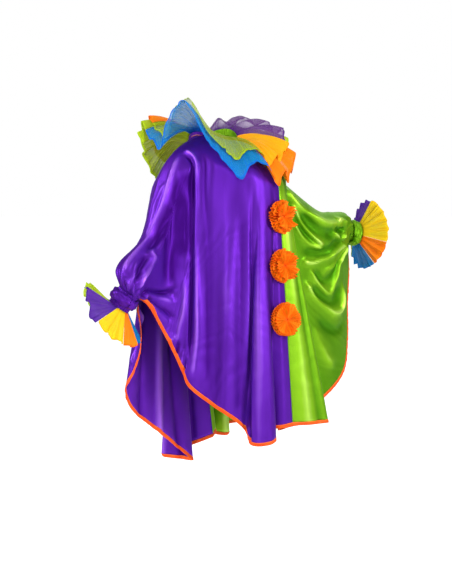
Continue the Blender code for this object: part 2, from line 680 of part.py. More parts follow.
def build_frills(side):
    """Five gathered panels of tulle round the wrist."""
    gap = SEAM_GAP / 2 / CUFF_RADIUS
    panels = FRILL_PANELS[side]
    ends = [start for _, _, start in panels[1:]] + [panels[0][2] + 360]
    for (colour, length, start), end in zip(panels, ends):
        count = round((end - start) / FRILL_COLUMN_ANGLE) + 1
        angles = np.linspace(math.radians(start) + gap, math.radians(end) - gap, count)
        distances = np.linspace(0, length, FRILL_ROWS + 1)
        grid = np.array([[frill_point(side, a, distance) for distance in distances] for a in angles])
        normals = unit(np.cross(np.gradient(grid, axis=0), np.gradient(grid, axis=1)))
        for column, angle in ((0, angles[0]), (-1, angles[-1])):
            tangent = around(side, angle + math.pi / 2)
            normals[column] -= (normals[column] @ tangent)[:, None] * tangent
        add_sheet(f"frill_{side}_{colour}", grid, unit(normals), TULLE_WALL, "tulle_" + colour)


# ------------------------------------------------------------------ the pompoms
def hanging_point(side, t, height):
    """A point of the front's middle surface below the bust, at a section and a height."""
    top = carrier_points(side, "front", [t])[0]
    hem = hem_points(side, "front", [t])[0]
    return top + (height - top[2]) / (hem[2] - top[2]) * (hem - top)


def build_pompom(name, height):
    """A round rosette beside the seam: a dished back, a lobed rim and a full front."""
    seat = hanging_point("right", POMPOM_BESIDE_SEAM, height)
    down = unit(hanging_point("right", POMPOM_BESIDE_SEAM, height - POMPOM_RADIUS) - seat)
    left_side = hanging_point("left", 2 * POMPOM_BESIDE_SEAM, height)
    side = left_side - hanging_point("right", 2 * POMPOM_BESIDE_SEAM, height)
    side = unit(side - (side @ down) * down)
    out = np.cross(down, side)
    back = seat + out * (SATIN_WALL / 2 + SEAM_GAP)
    segments = POMPOM_LOBES * POMPOM_POINTS_A_LOBE
    points = []
    for radius, rise in POMPOM_PROFILE:
        for k in range(segments):
            angle = 2 * math.pi * k / segments
            swing = POMPOM_LOBE_DEPTH * radius * math.cos(POMPOM_LOBES * angle)
            distance = POMPOM_RADIUS * radius * (1 + swing)
            points.append(back + out * rise + distance * (math.cos(angle) * side + math.sin(angle) * down))
    rings = len(POMPOM_PROFILE)
    faces = [tuple(range(segments)), tuple(range((rings - 1) * segments, rings * segments))]
    for i in range(rings - 1):
        for k in range(segments):
            m = (k + 1) % segments
            faces.append((i * segments + k, i * segments + m, (i + 1) * segments + m, (i + 1) * segments + k))
    add_solid("pompom_" + name, points, faces, "pompom_orange")


def main():
    for thing in list(bpy.data.objects):
        bpy.data.objects.remove(thing, do_unlink=True)
    build_poncho()
    build_neck_band()
    build_ruff()
    for side in ("right", "left"):
        build_cuff(side)
        build_tie(side)
        build_frills(side)
    for name, height in POMPOMS:
        build_pompom(name, height)


main()
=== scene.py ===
"""Looks of the clown costume: satin poncho with bound edges, tulle ruff and wrist frills,
gathered cuffs with knotted ties, and tulle pompoms. Metres, in the frame of the CAD model.
"""

import bpy
import numpy as np
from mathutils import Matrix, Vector
from numpy import cos, degrees, pi, radians, sin, sqrt


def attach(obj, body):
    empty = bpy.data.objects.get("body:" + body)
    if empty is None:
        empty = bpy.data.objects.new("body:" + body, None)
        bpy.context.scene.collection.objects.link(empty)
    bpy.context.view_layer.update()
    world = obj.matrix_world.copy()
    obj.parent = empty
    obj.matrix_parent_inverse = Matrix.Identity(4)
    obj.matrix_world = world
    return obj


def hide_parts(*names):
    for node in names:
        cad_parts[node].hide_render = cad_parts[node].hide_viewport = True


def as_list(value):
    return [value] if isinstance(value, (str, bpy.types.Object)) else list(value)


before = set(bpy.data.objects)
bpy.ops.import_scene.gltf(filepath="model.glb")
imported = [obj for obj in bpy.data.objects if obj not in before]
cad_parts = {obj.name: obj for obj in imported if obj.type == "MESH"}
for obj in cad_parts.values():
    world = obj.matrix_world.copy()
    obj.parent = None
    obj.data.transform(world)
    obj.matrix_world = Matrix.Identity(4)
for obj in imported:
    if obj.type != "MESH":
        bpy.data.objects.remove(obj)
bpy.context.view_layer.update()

# Each side of the garment: its sign in x, and its satin.
SIDES = {"right": (-1, "satin_purple"), "left": (1, "satin_green")}

# --- cloth: walls and gaps of the CAD model, and the finer ones here ---
SATIN_WALL, TULLE_WALL, SEAM_GAP = 0.0016, 0.0012, 0.0003
FINE_SATIN_WALL, FINE_TULLE_WALL, FINE_GAP = 0.0014, 0.0008, 0.0001
BINDING_WALL, BINDING_WIDTH = 0.003, 0.012
BINDING_LEAST_SLANT = 0.3
# Points over and under the binding, and how uneven its thickness is.
BINDING_POINTS, BINDING_WAVE, BINDING_WAVE_PITCH = 9, 0.1, 0.012

# --- neck opening: an ellipse, higher at the back and the sides ---
NECK_HALF_WIDTH, NECK_HALF_DEPTH = 0.085, 0.08
NECK_BACK_RISE, NECK_SIDE_RISE = 0.015, 0.04
BAND_WALL, BAND_HEIGHT, BAND_LIFT = 0.002, 0.028, 0.0017
BAND_COLUMNS, BAND_ROWS, BAND_CUT = 150, 9, (0.28, 0.028)
BAND_GATHER_DEPTH, BAND_GATHER_PITCH = 0.0005, 0.006

# --- bust and shoulder-blade level, where the cloth starts to hang ---
CHEST_HALF_WIDTH = 0.205
CHEST_REACH = {"front": 0.27, "back": 0.125}
CHEST_DROP = {"front": 0.127, "back": 0.095}
SHOULDER_DROP = 0.044
SHOULDER_ANGLE = {"front_right": 74.0, "front_left": 58.0, "back_right": 50.0, "back_left": 58.0}
# Places t of its points, up to the shoulder, and of the side of the neck.
CHEST_PLACES, NECK_SIDE_T = (0.0, 0.15, 0.3, 0.45, 0.6, 0.78, 0.95), 0.6

# --- wrists: the middle of each cuff's upper end, and the hand's way from it ---
CUFF_RADIUS, CUFF_WALL = 0.036, 0.002
CUFF_LENGTH = {"right": 0.064, "left": 0.056}
CUFF_START = {"right": (-0.467, 0.004, -0.463), "left": (0.594, -0.2, -0.302)}
CUFF_AXIS = {"right": (-0.33, 0.47, -0.82), "left": (0.85, -0.45, -0.15)}
# The ways from the middle of each arm to its top and to its front.
ARM_UP = {"right": (-0.71, 0.23, 0.67), "left": (0.14, -0.07, 0.99)}
ARM_FORWARD = {"right": (-0.31, -0.95, 0.0), "left": (-0.47, -0.88, 0.0)}

# The poncho's sections stand at places t: 0 at the centre line, 0.95 at the shoulder, 2 at the
# cuff. Sections of the arm: t in hundredths, then in mm the seam on top of it, how far below
# that the cloth starts to hang, and how far it stands out there in front and behind.
ARMS = {
    "right": (
        (95, -193, 16, -3, 50, 82, 58), (115, -245, 35, -67, 50, 85, 75),
        (140, -290, 45, -167, 50, 75, 70), (165, -344, 47, -298, 50, 68, 62),
        (188, -504, 27, -388, 65, 62, 50),
    ),
    "left": (
        (95, 180, -30, -12, 50, 70, 80), (115, 245, -120, -105, 52, 60, 80),
        (140, 380, -190, -212, 55, 60, 70), (165, 462, -203, -224, 55, 58, 60),
        (188, 562, -211, -232, 55, 54, 54),
    ),
}
# Each panel's lower edge, a row for each fold or turn: t in hundredths, and its place in mm.
HEMS = {
    "front_right": (
        (0, 0, -330, -937), (5, -40, -318, -940), (10, -62, -282, -948), (15, -82, -316, -972),
        (20, -121, -318, -984), (27, -160, -266, -984), (32, -138, -234, -954), (42, -168, -226, -920),
        (60, -225, -200, -875), (76, -238, -162, -851), (92, -295, -115, -792), (116, -300, -85, -739),
        (140, -318, -60, -670), (164, -358, -40, -587), (188, -412, -26, -507),
    ),
    "front_left": (
        (0, 0, -330, -937), (9, 65, -362, -940), (18, 136, -392, -941), (25, 152, -345, -948),
        (42, 180, -225, -979), (68, 245, -118, -1015), (92, 330, -155, -974), (108, 420, -215, -906),
        (124, 520, -235, -827), (140, 570, -224, -717), (160, 580, -217, -568), (176, 588, -217, -452),
        (188, 583, -213, -385),
    ),
    "back_right": (
        (0, 0, 0, -1013), (12, -35, 45, -1035), (28, -104, 122, -1070), (36, -130, 118, -1075),
        (44, -132, 60, -1075), (52, -126, 0, -1075), (60, -152, -6, -1060), (76, -220, 20, -999),
        (92, -300, 45, -934), (108, -385, 62, -863), (124, -412, 66, -800), (140, -405, 36, -741),
        (156, -405, 10, -676), (174, -404, 4, -600), (188, -416, 4, -534),
    ),
    "back_left": (
        (0, 0, 0, -1013), (12, 35, 12, -999), (28, 100, 85, -1025), (44, 150, 45, -1035),
        (60, 215, 95, -1015), (76, 275, 45, -1000), (92, 340, 50, -969), (108, 420, -20, -919),
        (124, 500, -85, -853), (140, 558, -130, -761), (156, 585, -155, -629), (174, 592, -172, -487),
        (188, 586, -180, -391),
    ),
}
# How full the curve over the shoulder is, by t; where the sleeve's gathers begin; and how far
# from the cuff the binding ends and the folds die away.
FULLNESS = (0.0, 0.95, 1.65, 2.0), (0.35, 0.45, 0.6, 0.7)
SECTION_POINTS, GATHERED_T, CUFF_STEP = 24, 1.88, 0.03

# --- the ruff: its longer lower layer, a row for each crest and valley of its edge: azimuth in
# degrees from the front toward the wearer's left, reach from the neck's middle and height in mm.
RUFF = (
    (-192, 240, -120), (-184, 252, -108), (-174, 250, -82), (-167, 240, -75), (-160, 258, -12),
    (-153, 240, -10), (-145, 262, 62), (-137, 242, 20), (-128, 256, 95), (-118, 246, 40), (-108, 254, 30),
    (-98, 256, 2), (-92, 260, 80), (-85, 254, 134), (-77, 243, 156), (-70, 240, 108), (-63, 252, 52),
    (-56, 266, 6), (-48, 270, -36), (-41, 272, -78), (-35, 276, -102), (-26, 266, -52), (-14, 286, -62),
    (-6, 288, -122), (3, 290, -70), (11, 280, -112), (19, 288, -46), (27, 276, -82), (35, 288, -12),
    (44, 274, -30), (54, 278, 45), (64, 262, 10), (75, 266, 58), (86, 250, 40), (98, 256, 72),
    (109, 242, 40), (120, 252, 66), (131, 238, 10), (142, 250, 25), (152, 240, -60), (160, 252, -52),
)
# How far it arches over the straight way to its edge, more where the edge falls; and how far
# its root is above the neck opening.
RUFF_RISE, RUFF_FALL_RISE, RUFF_ROOT_Z = 0.045, 0.5, 0.013
# The upper layer, by azimuth: its share of the lower one's length, and how far over it it ends.
RUFF_UPPER = (
    (-200, 0.82, 0.014), (-122, 0.84, 0.014), (-30, 0.82, 0.012), (20, 0.84, 0.014),
    (46, 0.9, 0.022), (62, 0.97, 0.036), (85, 1.0, 0.052), (118, 1.0, 0.048),
    (135, 0.94, 0.03), (160, 0.82, 0.014), (168, 0.82, 0.014),
)
RUFF_LAYER_GAP = 0.012
# Each layer of each quarter: first and last azimuth, its slot and its look, and its flared
# cut: the length of its outer edge, its depth, and its area.
RUFF_LAYERS = (
    ("right_lower", -122, -12, "tulle_blue", "tulle_blue", (0.84, 0.2), 0.105),
    ("right_upper", -122, -12, "tulle_lime", "tulle_lime", (0.7, 0.16), 0.076),
    ("front_lower", -12, 46, "tulle_orange", "tulle_orange", (0.5, 0.24), 0.07),
    ("front_upper", -12, 46, "tulle_yellow", "tulle_gold", (0.4, 0.19), 0.049),
    ("left_lower", 46, 140, "tulle_lime", "frill_lime", (0.6, 0.18), 0.075),
    ("left_upper", 46, 140, "tulle_purple", "tulle_purple", (0.6, 0.18), 0.074),
    ("back_lower", 140, 238, "tulle_lime", "frill_lime", (0.75, 0.2), 0.095),
    ("back_upper", 140, 238, "tulle_orange", "tulle_orange", (0.62, 0.16), 0.066),
)
RUFF_STEP, RUFF_ROWS = 0.5, 26
RUFF_GATHERS, RUFF_GATHER_DEPTH, RUFF_FOLD_DEPTH = 120, 0.0016, 0.00204
# The widths of its small folds in degrees, and how uneven its edge is, over how many degrees.
RUFF_FOLD_PITCHES, RUFF_RAGGED, RUFF_RAGGED_PITCH = (8.5, 4.2), 0.012, 6.0

# --- tulle frills at the wrists ---
# How far each flares from the cuff's axis, in degrees: at its top, in front, below and behind;
# and how much of that is left across the arm, where a frill is pressed flat.
FRILL_FLARE = {"right": (94.0, 50.0, 52.0, 58.0), "left": (66.0, 49.0, 58.0, 49.0)}
FRILL_SPREAD = {"right": 0.55, "left": 1.0}
FRILL_LAP, FRILL_STEP, FRILL_ROWS = 0.006, 0.65, 14
# Its pleats: how many round, how far they rise, and how far they lean over.
FRILL_WAVES, FRILL_WAVE_RISE, FRILL_LEAN = 20, 0.07, 0.45
FRILL_WAVER, FRILL_RAGGED = 0.0016, 0.02
# A flared panel's area as a share of its outer edge times its length.
FRILL_FAN = 0.68
# Each panel's colour, length, and where it begins, in degrees from the cuff's top to its front.
FRILL_PANELS = {
    "right": (
        ("purple", 0.122, 17), ("yellow", 0.104, 62), ("orange", 0.108, 108),
        ("blue", 0.104, 140), ("lime", 0.09, 240),
    ),
    "left": (
        ("yellow", 0.1, 2), ("orange", 0.1, 98), ("blue", 0.1, 148),
        ("lime", 0.1, 226), ("purple", 0.1, 292),
    ),
}

# --- gathered cuffs, cut wider than the way round by CUFF_FULLNESS; and the tie round each ---
CUFF_SEGMENTS, CUFF_ROWS, CUFF_FULLNESS = 168, 16, 1.15
CUFF_GATHERS_ROUND, CUFF_GATHER_DEPTH, CUFF_UNEVEN = 26, 0.0012, 0.8
TIE_HALF_THICKNESS, TIE_HALF_WIDTH = 0.0055, 0.018
TIE_SEGMENTS, TIE_RING, KNOT_SEGMENTS = 180, 30, 96
TIE_KNOT_ANGLE = {"right": radians(100), "left": radians(120)}
TIE_KNOT_GROWTH, TIE_KNOT_SPREAD, TIE_PULL_SPREAD = 0.7, radians(28), 0.3
KNOT_WALL, KNOT_HALF_WIDTH, KNOT_SWAY = 0.0032, 0.0095, 0.0025
TIE_CUT, TIE_AREA = (0.11, 0.26), 0.017

# --- pompoms beside the centre front seam: the height of each one's middle, then its ruffles:
# its reach, how far its root and its rim stand out, its pleats, their height, its lobes' depth.
POMPOMS = {
    "top": (-0.2285, (0.058, 0.003, 0.01, 32, 0.0046, 0.07), (0.056, 0.012, 0.021, 29, 0.007, 0.1),
            (0.046, 0.024, 0.034, 23, 0.007, 0.14)),
    "middle": (-0.393, (0.058, 0.003, 0.01, 34, 0.0044, 0.05), (0.057, 0.012, 0.02, 31, 0.0066, 0.08),
               (0.047, 0.024, 0.033, 25, 0.0066, 0.12)),
    "bottom": (-0.574, (0.058, 0.003, 0.01, 36, 0.0036, 0.03), (0.058, 0.012, 0.019, 34, 0.005, 0.05),
               (0.054, 0.024, 0.029, 32, 0.0046, 0.05)),
}
POMPOM_BESIDE_SEAM, POMPOM_RADIUS = 0.03, 0.056
POMPOM_CUT, POMPOM_AREA = (1.15, 0.05), 0.055
RUFFLE_SEGMENTS, RUFFLE_ROWS, RUFFLE_EYE, RUFFLE_WALL = 420, 12, 0.002, 0.0006
# The least that a ruffle stands from the panel, and how much more for each one over it.
RUFFLE_LEAST, RUFFLE_STEP = 0.0012, 0.0004


# ------------------------------------------------------------------ small maths
def norm(vectors):
    return np.linalg.norm(vectors, axis=-1, keepdims=True)


def unit(vectors):
    """A vector, or each of an array of vectors, at length one."""
    return np.asarray(vectors, float) / norm(vectors)


def square_to(way, vectors):
    """Vectors without their part along a way, or along a way for each, at length one."""
    return unit(vectors - np.sum(vectors * way, axis=-1, keepdims=True) * way)


def smooth_through(knots, values, places):
    """A smooth curve through values at the knots, read at places."""
    knots, values, places = np.array(knots, float), np.array(values, float), np.atleast_1d(places)
    tall = (-1,) + (1,) * (values.ndim - 1)
    steps = np.diff(knots)
    rises = np.diff(values, axis=0) / steps.reshape(tall)
    slopes = np.concatenate([rises[:1], (rises[:-1] + rises[1:]) / 2, rises[-1:]])
    k = np.clip(np.searchsorted(knots, places, side="right") - 1, 0, len(steps) - 1)
    step, s = steps[k].reshape(tall), ((places - knots[k]) / steps[k]).reshape(tall)
    start = (1 + 2 * s) * (1 - s) ** 2 * values[k] + s * (1 - s) ** 2 * step * slopes[k]
    return start + (s * s * (3 - 2 * s) * values[k + 1] + s * s * (s - 1) * step * slopes[k + 1])


def smooth_step(value):
    value = np.clip(value, 0.0, 1.0)
    return value * value * (3 - 2 * value)


def faded_ends(places, length):
    """Nought at the first and last place, one from a length inside them."""
    return smooth_step((places - places[0]) / length) * smooth_step((places[-1] - places) / length)


def bell(value, width):
    return np.exp(-((value / width) ** 2))


def waver(places, seed, pitch, count=5):
    """A smooth uneven wave of about unit height along places, repeated roughly each pitch."""
    random, total = np.random.default_rng(seed), 0.0
    for _ in range(count):
        wave = 2 * pi * places / (pitch * random.uniform(0.6, 1.7))
        total = total + sin(wave + random.uniform(0, 6.28))
    return total / sqrt(count)


def arcs(starts, corners, ends):
    """Quarters of ellipses from starts to ends, inside the corners between them."""
    s = np.linspace(0, 1, SECTION_POINTS + 1)[:, None]
    parts = (1 - s) ** 2, sqrt(2) * s * (1 - s), s * s
    points = starts[:, None], corners[:, None], ends[:, None]
    return sum(part * point for part, point in zip(parts, points)) / sum(parts)


def chain_lengths(chain):
    """How far each point of a chain of points is from its first, along it."""
    return np.append(0.0, np.cumsum(norm(np.diff(chain, axis=0))))


def pairs(first, second):
    """Two arrays of numbers as one of pairs."""
    return np.stack(np.broadcast_arrays(first, second), axis=-1)


# ------------------------------------------------------------------ the garment's surfaces
def cuff_frame(side):
    """The cuff's start and its axis, up and forward directions."""
    axis = unit(CUFF_AXIS[side])
    up = square_to(axis, np.array(ARM_UP[side]))
    forward = np.cross(up, axis)
    return np.array(CUFF_START[side]), axis, up, -forward if forward[1] > 0 else forward


def around(side, angle):
    """The direction out from a cuff's axis, at an angle from its top toward the front."""
    _, _, up, forward = cuff_frame(side)
    return np.multiply.outer(cos(angle), up) + np.multiply.outer(sin(angle), forward)


def neck_point(azimuth, out=0.0):
    """Points of the neck opening, by azimuth from the front toward the wearer's left."""
    x = (NECK_HALF_WIDTH + out) * sin(azimuth)
    y = -(NECK_HALF_DEPTH + out) * cos(azimuth)
    z = NECK_BACK_RISE * (1 - cos(azimuth)) / 2 + NECK_SIDE_RISE * sin(azimuth) ** 2
    return np.stack([x, y, z], axis=-1)


def arm_rows(side):
    """The arm's table in metres, with a row for the cuff."""
    start, _, up, _ = cuff_frame(side)
    rows = [(t / 100, *np.array(lengths) / 1000) for t, *lengths in ARMS[side]]
    return np.array([*rows, (2.0, *(start + CUFF_RADIUS * up), *[CUFF_RADIUS] * 3)])


def top_points(side, face, places):
    """The panel's top edge: round the neck, then along the shoulder and the arm."""
    sign, rows = SIDES[side][0], arm_rows(side)
    turn = places / NECK_SIDE_T * pi / 2
    neck = neck_point(sign * (turn if face == "front" else pi - turn))
    points = np.vstack([neck_point(sign * pi / 2), rows[:, 1:4]])
    arm = smooth_through(np.append(NECK_SIDE_T, rows[:, 0]), points, places)
    return np.where((places < NECK_SIDE_T)[:, None], neck, arm)


def carrier_points(side, face, places):
    """Where the cloth leaves the chest, back or arm and starts to hang."""
    sign, facing = SIDES[side][0], -1 if face == "front" else 1
    angles = radians(SHOULDER_ANGLE[face + "_" + side]) * np.array(CHEST_PLACES) / CHEST_PLACES[-1]
    drops = CHEST_DROP[face] + (SHOULDER_DROP - CHEST_DROP[face]) * sin(angles) ** 2
    across, out = sign * CHEST_HALF_WIDTH * sin(angles), facing * CHEST_REACH[face] * cos(angles)
    knots, points = list(CHEST_PLACES), list(np.stack([across, out, -drops], axis=1))
    for t, x, y, z, drop, front, back in arm_rows(side)[1:]:
        up, forward = unit(ARM_UP[side]), unit(ARM_FORWARD[side])
        if t >= GATHERED_T:
            up, forward = cuff_frame(side)[2:]
        knots.append(t)
        points.append((x, y, z) - drop * up + (front if face == "front" else -back) * forward)
    return smooth_through(knots, points, places)


def hem_points(side, face, places):
    """The panel's lower edge, from the hem's middle to the underside of the cuff."""
    start, _, up, _ = cuff_frame(side)
    rows = [(t / 100, *np.array(place) / 1000) for t, *place in HEMS[face + "_" + side]]
    rows = np.array([*rows, (2.0, *(start - CUFF_RADIUS * up))])
    return smooth_through(rows[:, 0], rows[:, 1:], places)


def seam_frames(side, places):
    """Along the seam on the shoulder and arm: the seam's outward and forward directions."""
    tops = top_points(side, "front", places)
    along = unit(np.gradient(tops, axis=0))
    fronts, backs = (carrier_points(side, face, places) for face in ("front", "back"))
    outward = square_to(along, tops - (fronts + backs) / 2)
    forward = np.cross(along, outward)
    forward *= np.where(np.sum(forward * (fronts - backs), axis=1) < 0, -1.0, 1.0)[:, None]
    return outward, forward


def ruff_grid(headings, shares, layer):
    """A ruff layer: a column for each azimuth in degrees, at shares of the way to its edge."""
    table = np.array(RUFF, float) * (1, 0.001, 0.001)
    table = np.vstack([table, table[:1] + (360, 0, 0)])
    wrapped = table[0, 0] + (headings - table[0, 0]) % 360
    reach, edge_z = smooth_through(table[:, 0], table[:, 1:], wrapped).T
    azimuths = radians(headings)
    root = neck_point(azimuths, BAND_WALL + 2 * SEAM_GAP) + (0, 0, RUFF_ROOT_Z)
    edge = np.stack([reach * sin(azimuths), -reach * cos(azimuths), edge_z], axis=1)
    bend = (root + edge) / 2
    bend[:, 2] += RUFF_RISE + RUFF_FALL_RISE * np.maximum(-edge_z, 0.0)
    places, lengths, lifts = np.array(RUFF_UPPER, float).T
    upper = layer == "upper"
    length = np.interp(wrapped, places, lengths) if upper else 1 + 0 * wrapped
    along = (length[:, None] * shares)[..., None]
    grid = (1 - along) ** 2 * root[:, None] + 2 * along * (1 - along) * bend[:, None]
    grid += along ** 2 * edge[:, None]
    lift = np.interp(wrapped, places, lifts)[:, None] - RUFF_LAYER_GAP
    grid[..., 2] += upper * (RUFF_LAYER_GAP + lift * shares)
    return grid


def frill_grid(side, angles, begin, distances):
    """A wrist frill: a column for each angle round the cuff, at distances from the cuff."""
    start, axis, up, forward = cuff_frame(side)
    top, front, below, back = FRILL_FLARE[side]
    high, ahead = cos(angles)[:, None], sin(angles)[:, None]
    flare = np.where(high > 0, top, below) * high ** 2 + np.where(ahead > 0, front, back) * ahead ** 2
    flare = radians(flare)
    radius = CUFF_RADIUS + CUFF_WALL / 2 + SEAM_GAP + TULLE_WALL / 2
    root = start + axis * (CUFF_LENGTH[side] - FRILL_LAP) + around(side, angles) * radius
    spread = high * up + FRILL_SPREAD[side] * ahead * forward
    along = unit(cos(flare) * axis + sin(flare) * spread)
    raised = unit((along @ axis)[:, None] * along - axis)
    wave = 1 - cos(FRILL_WAVES * (angles - begin))[:, None]
    way = along + raised * FRILL_WAVE_RISE * wave
    return root[:, None] + way[:, None] * distances[:, None]


def hanging_point(side, t, height):
    """A point of the front's middle surface below the bust, at a section and a height."""
    top = carrier_points(side, "front", [t])[0]
    hem = hem_points(side, "front", [t])[0]
    return top + (height - top[2]) / (hem[2] - top[2]) * (hem - top)


# ------------------------------------------------------------------ camera, lights, floor
CAMERA_EYE = (-3.768, -2.638, -0.09)
CAMERA_TARGET = (0.0261, -0.0373, -0.497)
CAMERA_LENS, CAMERA_SENSOR = 81.02, 36.0
FLOOR_Z, FLOOR_RADIUS, FLOOR_CORNERS = -1.47, 40.0, 64
FLOOR_GLOW = 0.6
# Lights, as the camera sees them: right, towards it and up from the garment's middle, then
# power, width and height, or the sun's width in degrees, and colour.
LIGHTS = (
    ("key", "AREA", (2.3, 1.75, 1.0), 62.0, (1.1, 1.9), (1.0, 0.98, 0.96)),
    ("strip", "AREA", (-2.6, 0.8, 1.0), 60.0, (0.45, 2.4), (1.0, 1.0, 1.0)),
    ("fill", "AREA", (-0.5, 4.0, 1.6), 54.0, (1.6, 2.0), (1.0, 1.0, 1.0)),
    ("back", "AREA", (0.6, -3.0, 1.8), 22.0, (2.2, 2.0), (1.0, 1.0, 1.0)),
    ("sun", "SUN", (0.6, 0.15, 2.2), 0.75, 25.0, (1.0, 1.0, 1.0)),
)
WORLD_LIGHT, WORLD_GLOSS = 0.32, 0.07
LIGHT_AIM = Vector((0.02, -0.08, -0.45))


def in_scene(name, data):
    """A new object in the scene."""
    thing = bpy.data.objects.new(name, data)
    bpy.context.scene.collection.objects.link(thing)
    return thing


def aim(thing, place, target):
    """Puts a camera or a light at a place and turns it toward a target."""
    thing.location = place
    thing.rotation_euler = (Vector(target) - thing.location).to_track_quat("-Z", "Y").to_euler()


def add_camera():
    data = bpy.data.cameras.new("camera")
    data.sensor_width, data.lens = CAMERA_SENSOR, CAMERA_LENS
    bpy.context.scene.camera = in_scene("camera", data)
    aim(bpy.context.scene.camera, CAMERA_EYE, CAMERA_TARGET)


def add_lights():
    azimuth = np.arctan2(CAMERA_EYE[0], -CAMERA_EYE[1])
    right = Vector((cos(azimuth), sin(azimuth), 0.0))
    near = Vector((sin(azimuth), -cos(azimuth), 0.0))
    for name, kind, place, power, size, colour in LIGHTS:
        data = bpy.data.lights.new("light_" + name, kind)
        data.energy, data.color = power, colour
        if kind == "SUN":
            data.angle = radians(size)
        else:
            data.shape = "RECTANGLE"
            data.size, data.size_y = size
        offset = right * place[0] + near * place[1] + Vector((0, 0, place[2]))
        aim(in_scene(data.name, data), LIGHT_AIM + offset, LIGHT_AIM)
    world = bpy.data.worlds.new("studio")
    world.use_nodes = True
    nodes = Nodes(world.node_tree, "Background")
    lit = nodes.ranged(nodes.add("LightPath", {}, "Is Glossy Ray"), 0.0, 1.0, WORLD_LIGHT, WORLD_GLOSS)
    seen = nodes.add("LightPath", {}, "Is Camera Ray")
    nodes.shade(Color=(1.0, 1.0, 1.0), Strength=nodes.maths("MAXIMUM", lit, seen))
    bpy.context.scene.view_settings.view_transform = "Standard"
    bpy.context.scene.world = world


def add_floor():
    turns = 2 * pi * np.arange(FLOOR_CORNERS) / FLOOR_CORNERS
    rim = [(FLOOR_RADIUS * cos(turn), FLOOR_RADIUS * sin(turn), FLOOR_Z) for turn in turns]
    mesh = bpy.data.meshes.new("floor")
    mesh.from_pydata(rim, [], [range(FLOOR_CORNERS)])
    mesh.materials.append(floor_material())
    in_scene("floor", mesh)


# ------------------------------------------------------------------ materials
class Nodes:
    """Short ways to set a tree's shader and to add nodes, each of which gives its output."""

    def __init__(self, tree, shader):
        self.tree, self.shader = tree, tree.nodes[shader].inputs

    def put(self, socket, value):
        """Links a socket to another node's output, or sets its value."""
        if isinstance(value, bpy.types.NodeSocket):
            self.tree.links.new(value, socket)
        else:
            socket.default_value = (*value, 1.0) if socket.type == "RGBA" else value

    def shade(self, **sockets):
        for key, value in sockets.items():
            self.put(self.shader[key.replace("_", " ")], value)

    def add(self, kind, inputs, output=0, **settings):
        node = self.tree.nodes.new("ShaderNode" + kind)
        for key, value in settings.items():
            setattr(node, key, value)
        for key, value in inputs.items():
            self.put(node.inputs[key], value)
        return node.outputs[output]

    def maths(self, operation, *values):
        return self.add("Math", dict(enumerate(values)), operation=operation)

    def total(self, first, *others):
        for other in others:
            first = self.maths("ADD", first, other)
        return first

    def times(self, value, number):
        return self.maths("MULTIPLY", value, number)

    def ranged(self, value, low, high, out_low=0.0, out_high=1.0):
        inputs = {"From Min": low, "From Max": high, "To Min": out_low, "To Max": out_high}
        return self.add("MapRange", {"Value": value, **inputs}, "Result")

    def mixed(self, factor, first, second):
        return self.add("Mix", {"Factor": factor, 6: first, 7: second}, 2, data_type="RGBA")

    def stretched(self, source, *scale):
        return self.add("Mapping", {"Vector": source, "Scale": scale}, "Vector")

    def grain(self, source, across, down, detail=3.0):
        """Noise of so many grains a metre across and down a cloth or a floor."""
        vector = self.stretched(source, across, down, across)
        inputs = {"Vector": vector, "Scale": 1.0, "Detail": detail, "Roughness": 0.55}
        return self.add("TexNoise", inputs, "Fac")

    def bump(self, height, strength, distance):
        inputs = {"Height": height, "Strength": strength, "Distance": distance}
        return self.add("Bump", inputs, "Normal")


def new_material(name, colour, **sockets):
    """A material with a Principled BSDF set as given, and its nodes."""
    made = bpy.data.materials.new(name)
    made.use_nodes = True
    made.diffuse_color = (*colour, 1.0)
    nodes = Nodes(made.node_tree, "Principled BSDF")
    nodes.shade(Base_Color=colour, **sockets)
    return made, nodes


def satin_material(name, colour, deep, highlight_colour, sheen):
    """Smooth satin: long warp floats give broad highlights along the cloth's length. Its colour has painted
    shade, deeper in the troughs of the placed creases, and a painted highlight, paler on their crests."""
    made, nodes = new_material(
        name, colour, Roughness=0.42, Metallic=0.5, Specular_IOR_Level=0.4, Specular_Tint=highlight_colour,
        Sheen_Weight=0.06, Sheen_Roughness=0.35, Sheen_Tint=sheen,
    )
    cloth = nodes.add("UVMap", {}, "UV", uv_map="cloth")
    # This attribute is the crease height, used to paint shade in the troughs and highlights on the crests.
    fold_shade = nodes.add("Attribute", {}, "Fac", attribute_name="fold_shade")
    slow = nodes.ranged(nodes.grain(cloth, 9.0, 1.5), 0.3, 0.7, -0.1, 0.1)
    # Painted shade: the colour goes toward the trough colour where the creases sink, plus random tone from
    # the slow noise.
    body = nodes.mixed(nodes.total(nodes.ranged(fold_shade, -0.006, 0.01), slow), deep, colour)
    # Painted highlight: the colour goes toward the pale crest colour where the creases stand out.
    painted_highlight = nodes.ranged(fold_shade, 0.005, 0.013, 0.0, 0.6)
    nodes.shade(Base_Color=nodes.mixed(painted_highlight, body, highlight_colour))
    threads = nodes.grain(cloth, 2600.0, 120.0, 2.0)
    slubs = nodes.grain(cloth, 260.0, 9.0, 2.0)
    creases = nodes.grain(cloth, 42.0, 5.0)
    rough = nodes.ranged(slubs, 0.3, 0.7, 0.38, 0.44)
    nodes.shade(Roughness=nodes.total(rough, nodes.ranged(creases, 0.3, 0.7, -0.03, 0.05)))
    height = nodes.total(nodes.times(threads, 0.08), nodes.times(creases, 0.18), nodes.times(slubs, 0.08))
    nodes.shade(Normal=nodes.bump(height, 0.35, 0.0016))
    return made


STITCH_PITCH, STITCH_ROW = 0.0042, 0.16


